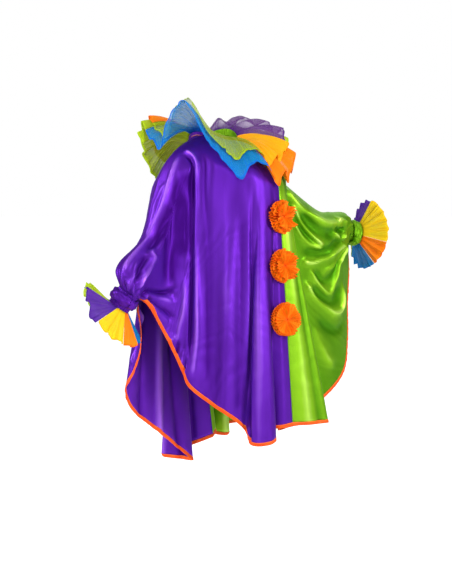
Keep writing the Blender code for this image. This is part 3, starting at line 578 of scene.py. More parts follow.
def binding_material():
    """Folded bias tape with a row of stitches close to its upper edge."""
    made, nodes = new_material(
        "binding_orange", (0.93, 0.115, 0.012), Roughness=0.5, Specular_IOR_Level=0.2,
        Sheen_Weight=0.06, Sheen_Roughness=0.4, Sheen_Tint=(1.0, 0.5, 0.2),
    )
    cloth = nodes.add("UVMap", {}, "UV", uv_map="cloth")
    along, across = (nodes.add("SeparateXYZ", {0: cloth}, part) for part in ("X", "Y"))
    dash = nodes.maths("SINE", nodes.times(along, 2 * pi / STITCH_PITCH))
    off_row = nodes.maths("ABSOLUTE", nodes.maths("SUBTRACT", across, STITCH_ROW))
    row = nodes.ranged(off_row, 0.02, 0.05, 1.0, 0.0)
    stitch = nodes.maths("MULTIPLY", nodes.ranged(dash, -0.35, 0.1), row)
    twill = nodes.add("TexWave", {"Scale": 1.0, "Vector": nodes.stretched(cloth, 260.0, 3.0, 1.0)},
                      "Fac", bands_direction="DIAGONAL")
    slow = nodes.ranged(nodes.grain(cloth, 30.0, 0.6), 0.3, 0.7)
    plain = nodes.mixed(slow, (0.84, 0.062, 0.003), (1.0, 0.125, 0.006))
    nodes.shade(Base_Color=nodes.mixed(stitch, plain, (1.0, 0.3, 0.06)))
    puckers = nodes.grain(cloth, 230.0, 0.8, 2.0)
    height = nodes.total(nodes.times(twill, 0.12), nodes.times(stitch, 0.6), nodes.times(puckers, 0.7))
    nodes.shade(Normal=nodes.bump(height, 0.5, 0.001))
    return made


def tulle_material(name, colour, deep, alpha):
    """Fine stiff net: fuller in its small folds, and doubled at its edge and its root."""
    made, nodes = new_material(
        name, colour, Roughness=0.62, Specular_IOR_Level=0.12, Sheen_Weight=0.08,
        Sheen_Roughness=0.45, Sheen_Tint=tuple(0.3 + 0.7 * part for part in colour),
    )
    cloth = nodes.add("UVMap", {}, "UV", uv_map="cloth")
    down = nodes.add("SeparateXYZ", {0: cloth}, "Y")
    rim = nodes.ranged(down, 0.958, 0.975)
    edge = nodes.total(rim, nodes.ranged(down, 0.74, 1.0, 0.0, 0.45))
    root = nodes.ranged(down, 0.35, 0.0)
    folds = nodes.ranged(nodes.grain(cloth, 130.0, 1.2, 2.0), 0.5, 0.66)
    place = nodes.add("TexCoord", {}, "Object")
    net = nodes.add("TexVoronoi", {"Scale": 1.0, "Vector": nodes.stretched(place, 520.0, 520.0, 520.0)},
                    "Distance", feature="DISTANCE_TO_EDGE")
    threads = nodes.ranged(net, 0.04, 0.16, 0.08, -0.05)
    solid = nodes.total(nodes.times(edge, 0.3), nodes.times(root, 0.3), nodes.times(folds, 0.16))
    nodes.shade(Alpha=nodes.maths("MINIMUM", nodes.total(solid, alpha, threads), 1.0))
    strong = nodes.maths("MAXIMUM", nodes.maths("MAXIMUM", rim, root), nodes.times(folds, 0.8))
    ribs = nodes.grain(cloth, 420.0, 4.0, 2.0)
    bump = nodes.bump(nodes.total(ribs, folds), 0.45, 0.001)
    nodes.shade(Base_Color=nodes.mixed(strong, colour, deep), Normal=bump)
    return made


def floor_material():
    """Plain pale floor, as bright to the camera as the world behind it."""
    made, nodes = new_material(
        "floor", (0.92, 0.92, 0.92), Roughness=0.75, Specular_IOR_Level=0.2, Emission_Color=(1.0, 1.0, 1.0),
    )
    place = nodes.add("TexCoord", {}, "Object")
    grain = nodes.ranged(nodes.grain(place, 1.5, 1.5), 0.3, 0.7)
    colour = nodes.mixed(grain, (0.915, 0.915, 0.915), (0.925, 0.925, 0.925))
    glow = nodes.times(nodes.add("LightPath", {}, "Is Camera Ray"), FLOOR_GLOW)
    nodes.shade(Base_Color=colour, Emission_Strength=glow)
    return made


# Each satin: its colour, its painted shade in the troughs of its creases, its painted highlight on their
# crests, which is also its specular tint, and the tint of its sheen.
SATINS = {
    "satin_purple": ((0.175, 0.03, 0.6), (0.05, 0.002, 0.21), (0.46, 0.17, 0.9), (0.75, 0.45, 1.0)),
    "satin_green": ((0.32, 0.64, 0.02), (0.055, 0.235, 0.001), (0.62, 0.88, 0.2), (0.75, 1.0, 0.45)),
}
# Each net: its colour, its colour where it doubles, and how much one layer hides; the frills
# are several layers deep.
TULLES = {
    "tulle_blue": ((0.002, 0.31, 0.72), (0.001, 0.16, 0.66), 0.38),
    "tulle_lime": ((0.44, 0.56, 0.02), (0.38, 0.54, 0.006), 0.3),
    "tulle_orange": ((1.0, 0.27, 0.003), (1.0, 0.17, 0.002), 0.62),
    "tulle_gold": ((1.0, 0.5, 0.006), (1.0, 0.36, 0.003), 0.6),
    "tulle_purple": ((0.18, 0.06, 0.3), (0.08, 0.016, 0.2), 0.44),
    "pompom_orange": ((1.0, 0.25, 0.003), (1.0, 0.12, 0.002), 0.74),
    "frill_blue": ((0.004, 0.18, 0.48), (0.002, 0.12, 0.42), 0.78),
    "frill_lime": ((0.44, 0.56, 0.02), (0.38, 0.54, 0.006), 0.66),
    "frill_orange": ((1.0, 0.24, 0.003), (1.0, 0.16, 0.002), 0.9),
    "frill_yellow": ((0.92, 0.64, 0.012), (0.84, 0.5, 0.006), 0.88),
    "frill_purple": ((0.11, 0.03, 0.36), (0.06, 0.01, 0.26), 0.84),
}


# ------------------------------------------------------------------ meshes
def add_piece(name, mesh, slot, node, flat, rests_on, area=None, fold_shade=None, look=None):
    """A smooth sheet of cloth from points, quads and a UV pair for each point, in place of a
    CAD node."""
    points, faces, uv = mesh
    data = bpy.data.meshes.new(name)
    data.from_pydata(points.tolist(), [], faces.tolist())
    corners = np.empty(len(data.loops), dtype=np.int32)
    data.loops.foreach_get("vertex_index", corners)
    data.uv_layers.new(name="cloth").data.foreach_set("uv", uv.astype(np.float32)[corners].ravel())
    # This attribute holds the crease height that the satin uses to paint shade in troughs and highlights on
    # crests.
    if fold_shade is not None:
        data.attributes.new("fold_shade", "FLOAT", "POINT").data.foreach_set("value", fold_shade.astype(np.float32))
    data.materials.append(MATERIALS[look or slot])
    data.shade_smooth()
    piece = in_scene(name, data)
    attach(piece, "root")
    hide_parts(node)
    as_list(rests_on)


def wall_mesh(grid, normals, thick, uv):
    """The points, quads and UVs of a wall of cloth round a grid, closed at its borders."""
    columns, rows = grid.shape[:2]
    count = columns * rows
    index = np.arange(count).reshape(columns, rows)
    corners = index[:-1, :-1], index[:-1, 1:], index[1:, 1:], index[1:, :-1]
    quads = np.stack(corners, axis=-1).reshape(-1, 4)
    border = np.concatenate([index[:, 0], index[-1, 1:], index[-2::-1, -1], index[0, -2:0:-1]])
    following = np.roll(border, -1)
    edge = np.stack([border, following, count + following, count + border], axis=-1)
    faces = np.vstack([quads, count + quads[:, ::-1], edge])
    half = normals * thick / 2
    points = np.vstack([(grid + half).reshape(-1, 3), (grid - half).reshape(-1, 3)])
    middle = index[columns // 2, rows // 2]
    a, b, c = points[[middle, middle + 1, middle + rows]]
    if np.cross(b - a, c - a) @ normals.reshape(-1, 3)[middle] < 0:
        faces = faces[:, ::-1]
    return points, faces, np.vstack([uv.reshape(-1, 2)] * 2)


def ring_mesh(rings, uv):
    """The points, quads and UVs of a solid from a closed loop of closed cross-sections."""
    count, size = rings.shape[:2]
    index = np.arange(count * size).reshape(count, size)
    after = np.roll(index, -1, axis=0)
    corners = index, after, np.roll(after, -1, axis=1), np.roll(index, -1, axis=1)
    faces = np.stack(corners, axis=-1).reshape(-1, 4)
    points = rings.reshape(-1, 3)
    a, b, c = points[faces[0][:3]]
    if np.cross(b - a, c - a) @ (a - rings[0].mean(axis=0)) < 0:
        faces = faces[:, ::-1]
    return points, faces, uv.reshape(-1, 2)


def joined(*meshes):
    """Several meshes' points, quads and UVs as one."""
    points, faces, uv = zip(*meshes)
    starts = np.cumsum([0] + [len(part) for part in points])
    return np.vstack(points), np.vstack([part + start for part, start in zip(faces, starts)]), np.vstack(uv)


def grid_normals(grid):
    return unit(np.cross(np.gradient(grid, axis=0), np.gradient(grid, axis=1)))


def grid_uv(grid):
    """Cloth coordinates of a grid in metres: across its columns, and down its rows."""
    steps = (norm(np.diff(grid, axis=k, prepend=grid.take([0], axis=k))) for k in (0, 1))
    columns, rows = (np.cumsum(step[..., 0], axis=k) for k, step in enumerate(steps))
    return pairs(columns.mean(axis=1, keepdims=True), rows)


# ------------------------------------------------------------------ the poncho
# A panel's columns: from one place t up to another, and how many.
PANEL_COLUMNS = ((0.0, 0.6, 74), (0.6, 1.6, 96), (1.6, 2.0, 56))
PANEL_ROWS, BINDING_ROWS, BINDING_CUT = 120, 4, 0.012
# Each panel's cut: its width from the centre to the cuff, its length, and its area.
PANEL_CUTS = {
    "front_right": ((0.83, 1.1), 0.54), "front_left": ((0.9, 1.15), 0.65),
    "back_right": ((0.83, 1.13), 0.52), "back_left": ((0.9, 1.08), 0.65),
}
# Painted shade and light: the left front's strip is painted a little lighter and the cloth past it darker,
# each given as the depth of a trough that would be as shaded, with the places between them; the inside is
# painted lighter, as the height of a ridge as light.
STRIP_SHADES, STRIP_EDGE = (-0.001, 0.0026), (0.16, 0.22)
INSIDE_LIGHT = 0.004
# Creases, panel by panel: how far each stands out, or in if negative, and its half-width, in
# mm; how much of its length it takes to rise and to die away, in hundredths; and the places it
# runs through, pairs of hundredths: t, and s, the share of the way down from top edge to hem.
CREASES = dict(front_right=(
    # along the arm
    (13, 7, 12, 10, 96, 3, 112, 6, 130, 8, 145, 9, 159, 7, 171, 9, 183, 18, 192, 24),
    (-8, 16, 25, 20, 110, 11, 132, 13, 146, 15, 158, 14, 169, 17, 177, 27),
    (6, 7, 30, 30, 126, 5.5, 141, 4, 150, 3), (6, 7, 30, 30, 144, 4.5, 155, 3.5, 166, 4.5),
    # at the elbow
    (12, 8, 20, 10, 169, 20, 172.5, 26, 173, 33, 176, 41, 181, 53, 190, 68),
    (-11, 10, 20, 10, 174, 24, 180, 36, 185, 47, 195, 59),
    (6, 6, 30, 10, 178, 25, 184, 36, 189, 46, 196, 55),
    # from the shoulder
    (10, 8, 4, 6, 95, 3, 96, 16, 94, 28, 93, 43, 91, 62, 89, 79, 90, 89, 92, 99),
    (-9, 8, 5, 10, 99, 5, 101, 14, 99, 28, 98, 43, 96, 62, 95.5, 78, 96.5, 93),
    (-4, 16, 10, 10, 88, 8, 86, 29, 82, 50, 81, 75, 80, 97),
    # below the arm
    (-14, 26, 25, 25, 122, 13, 138, 25, 144, 40, 149, 54, 158, 69),
    (-14, 30, 25, 30, 107, 12, 111, 25, 115, 40, 120, 54),
    # down the body
    (5, 30, 30, 30, 68, 24, 66, 36, 64, 47, 62, 63, 58, 84),
    (-4, 18, 30, 5, 53, 25, 49, 49, 47, 71, 42, 98),
    (8, 16, 50, 0, 32, 17, 30, 36, 27, 53, 25, 74, 24, 100),
    (-10, 7, 60, 0, 37.5, 20, 37.5, 38, 34, 56, 32, 74, 28, 100),
    (4, 10, 60, 0, 42, 20, 42, 38, 39, 57, 37, 75, 34, 100),
    (-7, 16, 40, 0, 20, 20, 19, 45, 15, 72, 12, 100),
    # from the cuff
    (10, 10, 30, 10, 122, 55, 115, 66, 118, 76, 127, 86, 132, 97),
    (-10, 9, 5, 30, 193, 95, 174, 76, 151, 69, 125, 64), (8, 9, 5, 30, 188, 97, 170, 80, 147, 75, 129, 75),
    (-7, 8, 5, 30, 185, 98.5, 169, 88, 150, 84, 133, 85), (5, 6, 5, 30, 179, 99, 162, 93, 146, 91),
    # at the hem
    (6, 6, 50, 0, 136, 92, 140, 96, 145, 100), (-6, 6, 50, 0, 124, 90, 128, 95, 131, 100),
    (6, 6, 50, 0, 112, 92, 116, 96, 119, 100), (-5, 5, 50, 0, 102, 93, 105, 97, 108, 100),
), front_left=(
    # along the arm
    (11.2, 9, 10, 10, 116, 6, 126, 11, 133, 12, 145, 14, 162, 19, 178, 24),
    # on the chest
    (14, 7, 15, 15, 118, 12, 122, 19, 127, 24, 133, 28, 138, 31),
    (11.2, 7, 15, 15, 115, 22, 120, 28, 126, 31, 137, 32), (-9, 11, 20, 20, 117, 19, 122, 25, 131, 29.5),
    (-10, 20, 20, 20, 122, 14, 132, 20, 145, 22, 160, 30),
    # swags to the arm
    (13.5, 7, 10, 5, 113, 41, 122, 41, 134, 39, 150, 41, 172, 53),
    (-9, 18, 20, 10, 116, 35, 130, 35, 152, 36, 174, 45),
    (12.5, 7, 15, 5, 119, 43, 121, 49, 125, 55, 129, 59, 134, 59.5, 141, 57, 160, 58, 178, 66),
    (6, 6, 30, 5, 126, 49, 136, 46, 156, 50, 176, 60),
    (-8, 14, 20, 10, 122, 44, 127, 51, 138, 52, 158, 54),
    (14, 9, 10, 20, 112, 50, 116, 57, 120, 61, 126, 67, 131, 72, 141, 78, 150, 78, 157, 72),
    (-9, 20, 20, 20, 117, 51, 123, 59, 130, 65, 138, 67, 148, 66),
    # below the arm
    (-6, 18, 30, 20, 114, 66, 120, 74, 130, 82, 142, 88), (8.4, 16, 30, 20, 110, 70, 113, 82, 118, 95),
    # over the cuff
    (12.6, 6, 20, 20, 156, 25, 163, 34, 171, 44, 180, 46), (-14, 9, 20, 20, 162, 24, 170, 32, 178, 38),
    (9.8, 6, 20, 20, 166, 18, 174, 22, 182, 32),
    # down the body
    (7, 20, 20, 0, 10, 15, 9, 50, 8, 100), (-5.6, 12, 30, 0, 13, 35, 13.5, 70, 13, 100),
    (11.2, 14, 20, 0, 62, 18, 60, 50, 56, 100), (-11.2, 14, 20, 0, 85, 20, 84, 55, 80, 100),
), back_right=(
    # down the body
    (7, 12, 10, 0, 20, 6, 16, 40, 14, 100), (10, 12, 10, 0, 52, 5, 45, 35, 40, 70, 36, 100),
    (-10, 13, 10, 0, 62, 6, 57, 35, 50, 70, 46, 100), (10, 11, 10, 0, 90, 6, 84, 35, 76, 70, 70, 100),
    (-9, 14, 10, 0, 100, 10, 96, 40, 90, 70, 86, 100), (8, 12, 20, 0, 122, 18, 114, 45, 106, 72, 100, 100),
    # along the arm
    (9, 9, 20, 10, 110, 9, 135, 13, 160, 18, 180, 26),
    (-9, 12, 20, 10, 120, 17, 142, 23, 162, 30, 182, 40),
    # from the cuff
    (-8, 10, 5, 30, 190, 95, 166, 84, 140, 78), (8, 9, 5, 30, 188, 90, 164, 76, 136, 68, 120, 66),
    (6, 7, 5, 30, 184, 98, 160, 91, 142, 88), (-8, 11, 5, 30, 190, 82, 166, 64, 144, 54),
    (8, 8, 20, 20, 152, 88, 142, 91, 133, 95),
), back_left=(
    # down the body
    (7, 12, 10, 0, 22, 6, 20, 45, 18, 100), (10, 13, 10, 0, 50, 5, 46, 35, 36, 70, 30, 100),
    (-10, 13, 10, 0, 66, 7, 58, 40, 50, 70, 44, 100), (10, 12, 10, 0, 92, 6, 80, 40, 68, 75, 60, 100),
    # swags to the arm
    (11, 8, 40, 5, 110, 28, 128, 33, 150, 38, 174, 50),
    (-7, 18, 40, 10, 112, 22, 132, 27, 154, 31, 176, 41),
    (7, 11, 50, 5, 102, 42, 118, 50, 136, 55, 156, 57, 176, 64),
    (-6, 20, 40, 10, 104, 36, 122, 43, 142, 46, 160, 48),
    (11, 8, 35, 10, 98, 58, 114, 68, 132, 74, 150, 74, 168, 72),
    (-7, 19, 40, 20, 102, 53, 118, 61, 136, 65, 152, 65),
    # along the arm
    (8, 9, 10, 10, 116, 7, 136, 10, 158, 14, 178, 22),
    # below the arm
    (-7, 13, 30, 10, 130, 80, 142, 86, 150, 97),
))
# How sharp a ridge is, and how uneven a crease.
RIDGE_PINCH, CREASE_UNEVEN = 0.35, 0.22
# Small gathers that start at the neck, and at each cuff: how many on a panel, how far they
# stand out, their half-width, and the least and most that they run.
NECK_GATHERS = (9, 0.0024, 0.006, 0.1, 0.26)
CUFF_GATHERS = (12, 0.0045, 0.006, 0.08, 0.26)
CUFF_GATHER_T = 1.995
# Small ripples all over, puckers at the hem, and how soon all folds die away at a seam.
RIPPLE_HEIGHT, RIPPLE_PITCH = 0.0004, 0.075
PUCKER_HEIGHT, PUCKER_PITCH, PUCKER_REACH = 0.0013, 0.016, 0.014
SEAM_FADE = 0.012


def panel_surface(side, face):
    """The middle surface of a plain panel and its binding as a fine grid, and its columns' t."""
    places = [np.linspace(*part, endpoint=False) for part in PANEL_COLUMNS]
    places = np.append(np.concatenate(places), 2.0)
    edges = top_points, carrier_points, hem_points
    tops, carriers, hems = (edge(side, face, places) for edge in edges)
    straight = (carriers + hems) / 2
    corners = carriers + unit(hems - tops) * norm(hems - carriers) * sqrt(0.5)
    roundness = np.clip((places - GATHERED_T) / (2.0 - GATHERED_T), 0, 1) ** 2
    low_corners = straight + (corners - straight) * roundness[:, None]
    reach = np.interp(places, *FULLNESS)[:, None] * norm(tops - carriers)
    over = arcs(tops, carriers - unit(low_corners - carriers) * reach, carriers)
    chains = np.concatenate([over[:, :-1], arcs(carriers, low_corners, hems)], axis=1)
    along_hem = unit(np.gradient(hems, axis=0))
    to_cuff = np.clip((places - (2.0 - CUFF_STEP)) / CUFF_STEP, 0, 1)
    columns = []
    for chain, along, at_cuff in zip(chains, along_hem, to_cuff):
        slant = sqrt(max(1 - (unit(chain[-1] - chain[-2]) @ along) ** 2, BINDING_LEAST_SLANT ** 2))
        lengths = chain_lengths(chain)
        bound = (BINDING_WIDTH + FINE_GAP) / slant * (1 - at_cuff) + SEAM_GAP * at_cuff
        distances = np.append(
            np.linspace(0, lengths[-1] - bound, PANEL_ROWS + 1),
            np.linspace(lengths[-1] - BINDING_WIDTH / slant, lengths[-1], BINDING_ROWS + 1),
        )
        columns.append([np.interp(distances, lengths, axis) for axis in chain.T])
    grid = np.array(columns).transpose(0, 2, 1)
    grid[0, :, 0] = 0.0
    return grid, places


def panel_normals(grid, side, face):
    """Outward normals of a panel's grid; the binding has those of the cloth over it."""
    normals = grid_normals(grid)
    if (side == "right") != (face == "front"):
        normals = -normals
    normals[0, :, 0] = 0.0
    start, axis, _, _ = cuff_frame(side)
    normals[-1] = square_to(axis, grid[-1] - start)
    normals[:, PANEL_ROWS - 1:] = normals[:, PANEL_ROWS - 2, None]
    return unit(normals)


def read_grid(grid, places, line):
    """Points of the surface at (t, s) pairs."""
    column = np.interp(line[:, 0], places, np.arange(len(places)))
    row = np.clip(line[:, 1], 0, 1) * PANEL_ROWS
    c, r = np.minimum(column.astype(int), len(places) - 2), np.minimum(row.astype(int), PANEL_ROWS - 1)
    right, down = (column - c)[:, None], (row - r)[:, None]
    first = grid[c, r] * (1 - down) + grid[c, r + 1] * down
    second = grid[c + 1, r] * (1 - down) + grid[c + 1, r + 1] * down
    return first * (1 - right) + second * right


def nearest_on(points, line):
    """Each point's distance to a chain of points, and where along it, from 0 to 1."""
    best = np.full(len(points), np.inf)
    where = np.zeros(len(points))
    before = chain_lengths(line)
    for k, step in enumerate(np.diff(before)):
        way = (line[k + 1] - line[k]) / max(step, 1e-9)
        off = points - line[k]
        along = np.clip(off @ way, 0, step)
        distance = np.linalg.norm(off - along[:, None] * way, axis=1)
        closer = distance < best
        best[closer] = distance[closer]
        where[closer] = (before[k] + along[closer]) / before[-1]
    return best, where


def crease_height(grid, places, depth, width, rise, fall, line):
    """How far one crease moves each point of the grid: a pinched ridge or a round trough."""
    path = smooth_through(np.arange(len(line)), line, np.linspace(0, len(line) - 1, 6 * len(line)))
    distance, where = nearest_on(grid.reshape(-1, 3), read_grid(grid, places, path))
    shape = bell(distance, width)
    if depth > 0:
        pinch = RIDGE_PINCH * width
        shape = np.exp(-(sqrt(distance ** 2 + pinch ** 2) - pinch) / width)
    ends = smooth_step(where / rise) if rise > 0 else 1.0
    ends = ends * (smooth_step((1 - where) / fall) if fall > 0 else 1.0)
    uneven = 1 + CREASE_UNEVEN * sin(where * 9.0 + width * 900)
    return (depth * shape * ends * uneven).reshape(grid.shape[:2])


def crease_rows(side, face):
    """A panel's placed creases, then its gathers at the neck and the cuff, in metres and shares."""
    for depth, width, rise, fall, *line in CREASES[face + "_" + side]:
        yield depth / 1000, width / 1000, rise / 100, fall / 100, np.reshape(line, (-1, 2)) / 100
    random = np.random.default_rng(10 + 2 * (side == "left") + (face == "back"))
    count, depth, width, least, most = NECK_GATHERS
    for k in range(count):
        t = (k + random.uniform(0.25, 0.75)) / count * (NECK_SIDE_T + 0.05)
        reach, sway = random.uniform(least, most), random.uniform(-0.03, 0.03)
        deep = depth * random.uniform(0.6, 1.2) * (1 if k % 3 else -1)
        yield deep, width, 0.0, 0.7, ((t, 0.0), (t + sway / 2, reach / 2), (t + sway, reach))
    count, depth, width, least, most = CUFF_GATHERS
    for k in range(count):
        s = (k + random.uniform(0.3, 0.7)) / count
        reach, sway = random.uniform(least, most), random.uniform(-0.05, 0.05) + (s - 0.4) * 0.1
        deep = depth * random.uniform(0.5, 1.2) * (-1 if k % 2 else 1)
        middle, end = (min(max(s + part, 0.02), 0.99) for part in (sway / 2, sway))
        t = CUFF_GATHER_T
        yield deep, width, 0.06, 0.7, ((t, s), (t - reach / 2, middle), (t - reach, end))


def draped_panel(side, face):
    """A panel's grid with its creases, ripples and puckers, its normals, its columns' t, its
    UVs, and how far each point stands out of the plain drape."""
    grid, places = panel_surface(side, face)
    normals = panel_normals(grid, side, face)
    height = sum(crease_height(grid, places, *row) for row in crease_rows(side, face))
    uv = grid_uv(grid)
    along, down = uv[..., 0], uv[..., 1]
    seed = 30 + 2 * (side == "left") + (face == "back")
    ripples = waver(along + 0.15 * waver(down, seed + 5, 0.5), seed, RIPPLE_PITCH)
    height += RIPPLE_HEIGHT * ripples * smooth_step(down / 0.15)
    puckers = waver(along, seed + 20, PUCKER_PITCH) * (0.6 + 0.4 * waver(along, seed + 21, 0.09))
    height += PUCKER_HEIGHT * puckers * np.exp(-(down[:, -1:] - down) / PUCKER_REACH)
    height *= smooth_step(down / SEAM_FADE) * smooth_step(along / SEAM_FADE)
    height *= smooth_step((2.0 - places) / CUFF_STEP)[:, None]
    grid = grid + normals * height[..., None]
    grid[0, :, 0] = 0.0
    return grid, panel_normals(grid, side, face), places, uv, height


def build_poncho():
    """Four satin panels, whose seams on the shoulders and at the centre close to FINE_GAP."""
    for face in ("front", "back"):
        strips = []
        for side, (sign, satin) in SIDES.items():
            grid, normals, places, uv, height = draped_panel(side, face)
            on_seam = places >= NECK_SIDE_T
            outward, forward = seam_frames(side, places)
            facing = 1 if face == "front" else -1
            grid[on_seam, 0] += facing * forward[on_seam] * FINE_GAP / 2
            normals[on_seam, 0] = outward[on_seam]
            cloth = slice(0, PANEL_ROWS + 1)
            panel = grid[:, cloth].copy()
            panel[0, :, 0] = sign * FINE_GAP / 2
            node = face + "_" + side
            # Painted shade and light: the crease height paints shade in the satin's troughs and highlights
            # on its crests; the left front's strip is painted lighter, the cloth past it darker, and the
            # inner wall lighter.
            fold_shade = height[:, cloth]
            if node == "front_left":
                fold_shade = fold_shade - np.interp(places, STRIP_EDGE, STRIP_SHADES)[:, None]
            fold_shade = np.append(fold_shade, INSIDE_LIGHT - fold_shade)
            mesh = wall_mesh(panel, normals[:, cloth], FINE_SATIN_WALL, uv[:, cloth])
            (flat, area), rests_on = PANEL_CUTS[node], ["neck_band_" + side, "cuff_" + side]
            add_piece("cloth_" + node, mesh, satin, node, flat, rests_on, area, fold_shade)
            short = places <= 2.0 - CUFF_STEP + 1e-6
            strips.append((grid[short, PANEL_ROWS + 1:], normals[short, PANEL_ROWS + 1:]))
        build_binding(face, *zip(*strips))


def build_binding(face, strips, normals):
    """Bias tape folded over the lower edge: a soft flat tube with rounded borders."""
    strip, normals = (np.vstack([right[::-1], left[1:]]) for right, left in (strips, normals))
    along = chain_lengths(strip[:, -1])
    places = np.linspace(0, 1, BINDING_POINTS)
    profile = BINDING_WALL / 2 * sqrt(np.clip(1 - np.abs(2 * places - 1) ** 5, 0.16, 1))
    half = profile * (1 + BINDING_WAVE * waver(along, 3, BINDING_WAVE_PITCH))[:, None]
    rows = np.linspace(0, 1, strip.shape[1])
    line = np.array([[np.interp(places, rows, axis) for axis in column.T] for column in strip])
    line = line.transpose(0, 2, 1)
    lift = normals[:, -1, None] * half[..., None]
    loops = np.concatenate([line + lift, (line - lift)[:, ::-1]], axis=1)
    points, faces, uv = ring_mesh(loops, pairs(along[:, None], np.append(places, places[::-1])))
    size = loops.shape[1]
    first_cap = np.array([[j, j + 1, size - 2 - j, size - 1 - j] for j in range(size // 2 - 1)])
    last_cap = first_cap[:, ::-1] + len(points) - size
    mesh = points, np.vstack([faces[:-size], first_cap, last_cap]), uv
    flat, rests_on = (BINDING_CUT, round(float(along[-1]), 2)), [f"cloth_{face}_{side}" for side in SIDES]
    add_piece("tape_" + face, mesh, "binding_orange", "binding_" + face, flat, rests_on)


# ------------------------------------------------------------------ neck band and tulle
def build_neck_band():
    """Two halves of a gathered stand round the neck."""
    turn = SEAM_GAP / 2 / NECK_HALF_DEPTH
    heights = np.linspace(BAND_LIFT, BAND_HEIGHT, BAND_ROWS)
    for side, (sign, satin) in SIDES.items():
        azimuths = np.linspace(turn, pi - turn, BAND_COLUMNS) * sign
        grid = neck_point(azimuths, BAND_WALL / 2)[:, None] + np.outer(heights, (0, 0, 1))
        outward = np.stack([sin(azimuths), -cos(azimuths), 0 * azimuths], axis=1)
        normals = np.broadcast_to(outward[:, None], grid.shape)
        gathers = BAND_GATHER_DEPTH * waver(azimuths * NECK_HALF_DEPTH, 70, BAND_GATHER_PITCH)
        grid += normals * gathers[:, None, None]
        mesh = wall_mesh(grid, normals, BAND_WALL * 0.8, grid_uv(grid))
        rests_on = ["cloth_front_" + side]
        add_piece("stand_" + side, mesh, satin, "neck_band_" + side, BAND_CUT, rests_on)


def tulle_mesh(grid, height, ragged, power, side_ways):
    """A net's wall: the grid moved out by height, its length made ragged toward its edge by a
    power of the way there, and its two borders square to the ways across them."""
    shares = np.linspace(0, 1, grid.shape[1])
    grid = grid + grid_normals(grid) * height[..., None]
    stretch = 1 + ragged[:, None] * shares ** power
    grid = grid[:, :1] + (grid - grid[:, :1]) * stretch[..., None]
    normals = grid_normals(grid)
    for column, way in zip((0, -1), side_ways):
        normals[column] = square_to(way, normals[column])
    uv = pairs(grid_uv(grid)[..., 0], shares)
    return wall_mesh(grid, normals, FINE_TULLE_WALL, uv), grid


def build_ruff():
    """Two layers of tulle in four colours, closely gathered at the neck, waved outside."""
    gap = degrees(SEAM_GAP / 2 / NECK_HALF_DEPTH)
    shares = np.linspace(0, 1, RUFF_ROWS + 1)
    for number, (name, first, last, slot, look, flat, area) in enumerate(RUFF_LAYERS):
        azimuths = np.linspace(first + gap, last - gap, round((last - first) / RUFF_STEP) + 1)
        grid = ruff_grid(azimuths, shares, name.split("_")[1])
        seed = 80 + number
        gathers = sin(radians(azimuths) * RUFF_GATHERS + 1.2 * waver(azimuths, seed, 17.0))
        fade = smooth_step(shares / 0.06) * np.exp(-shares / 0.3)
        drift = azimuths[:, None] + 3.0 * shares * waver(azimuths, seed + 3, 30.0)[:, None]
        wide, narrow = (waver(drift, seed + k, pitch) for k, pitch in enumerate(RUFF_FOLD_PITCHES, 1))
        height = RUFF_FOLD_DEPTH * (wide + 0.6 * narrow) * shares ** 1.4
        height += RUFF_GATHER_DEPTH * gathers[:, None] * fade
        ends = faded_ends(azimuths, 1.5)
        ways = [(cos(turn), sin(turn), 0.0) for turn in radians(azimuths[[0, -1]])]
        ragged = RUFF_RAGGED * waver(azimuths, seed + 7, RUFF_RAGGED_PITCH) * ends
        mesh, _ = tulle_mesh(grid, height * ends[:, None], ragged, 3, np.array(ways))
        rests_on = ["neck_band_" + side for side in SIDES]
        add_piece("tulle_ruff_" + name, mesh, slot, "ruff_" + name, flat, rests_on, area,
                  look=look)


def build_frills(side):
    """Five panels of pleated tulle round the wrist."""
    gap = SEAM_GAP / 2 / CUFF_RADIUS
    panels = FRILL_PANELS[side]
    begin = radians(panels[0][2])
    ends = [start for _, _, start in panels[1:]] + [panels[0][2] + 360]
    shares = np.linspace(0, 1, FRILL_ROWS + 1)
    for number, ((colour, length, start), end) in enumerate(zip(panels, ends)):
        count = round((end - start) / FRILL_STEP) + 1
        angles = np.linspace(radians(start) + gap, radians(end) - gap, count)
        phase = (angles - begin) * FRILL_WAVES
        bent = begin + (phase + FRILL_LEAN * sin(phase)) / FRILL_WAVES
        grid = frill_grid(side, bent, begin, length * shares)
        seed = 120 + 10 * (side == "left") + number
        fade = faded_ends(angles, 0.06)
        height = FRILL_WAVER * (waver(angles, seed, 0.11) * fade)[:, None] * shares
        ragged = FRILL_RAGGED * waver(angles, seed + 5, 0.3) * fade
        mesh, grid = tulle_mesh(grid, height, ragged, 2, around(side, angles[[0, -1]] + pi / 2))
        node = f"frill_{side}_{colour}"
        edge = round(float(chain_lengths(grid[:, -1])[-1]), 2)
        add_piece("tulle_" + node, mesh, "tulle_" + colour, node, (edge, length),
                  ["cuff_" + side], round(FRILL_FAN * edge * length, 4), look="frill_" + colour)


# ------------------------------------------------------------------ cuffs and ties
def round_angles(count):
    """Equal steps of a full turn, as a column."""
    return (2 * pi * np.arange(count) / count)[:, None]


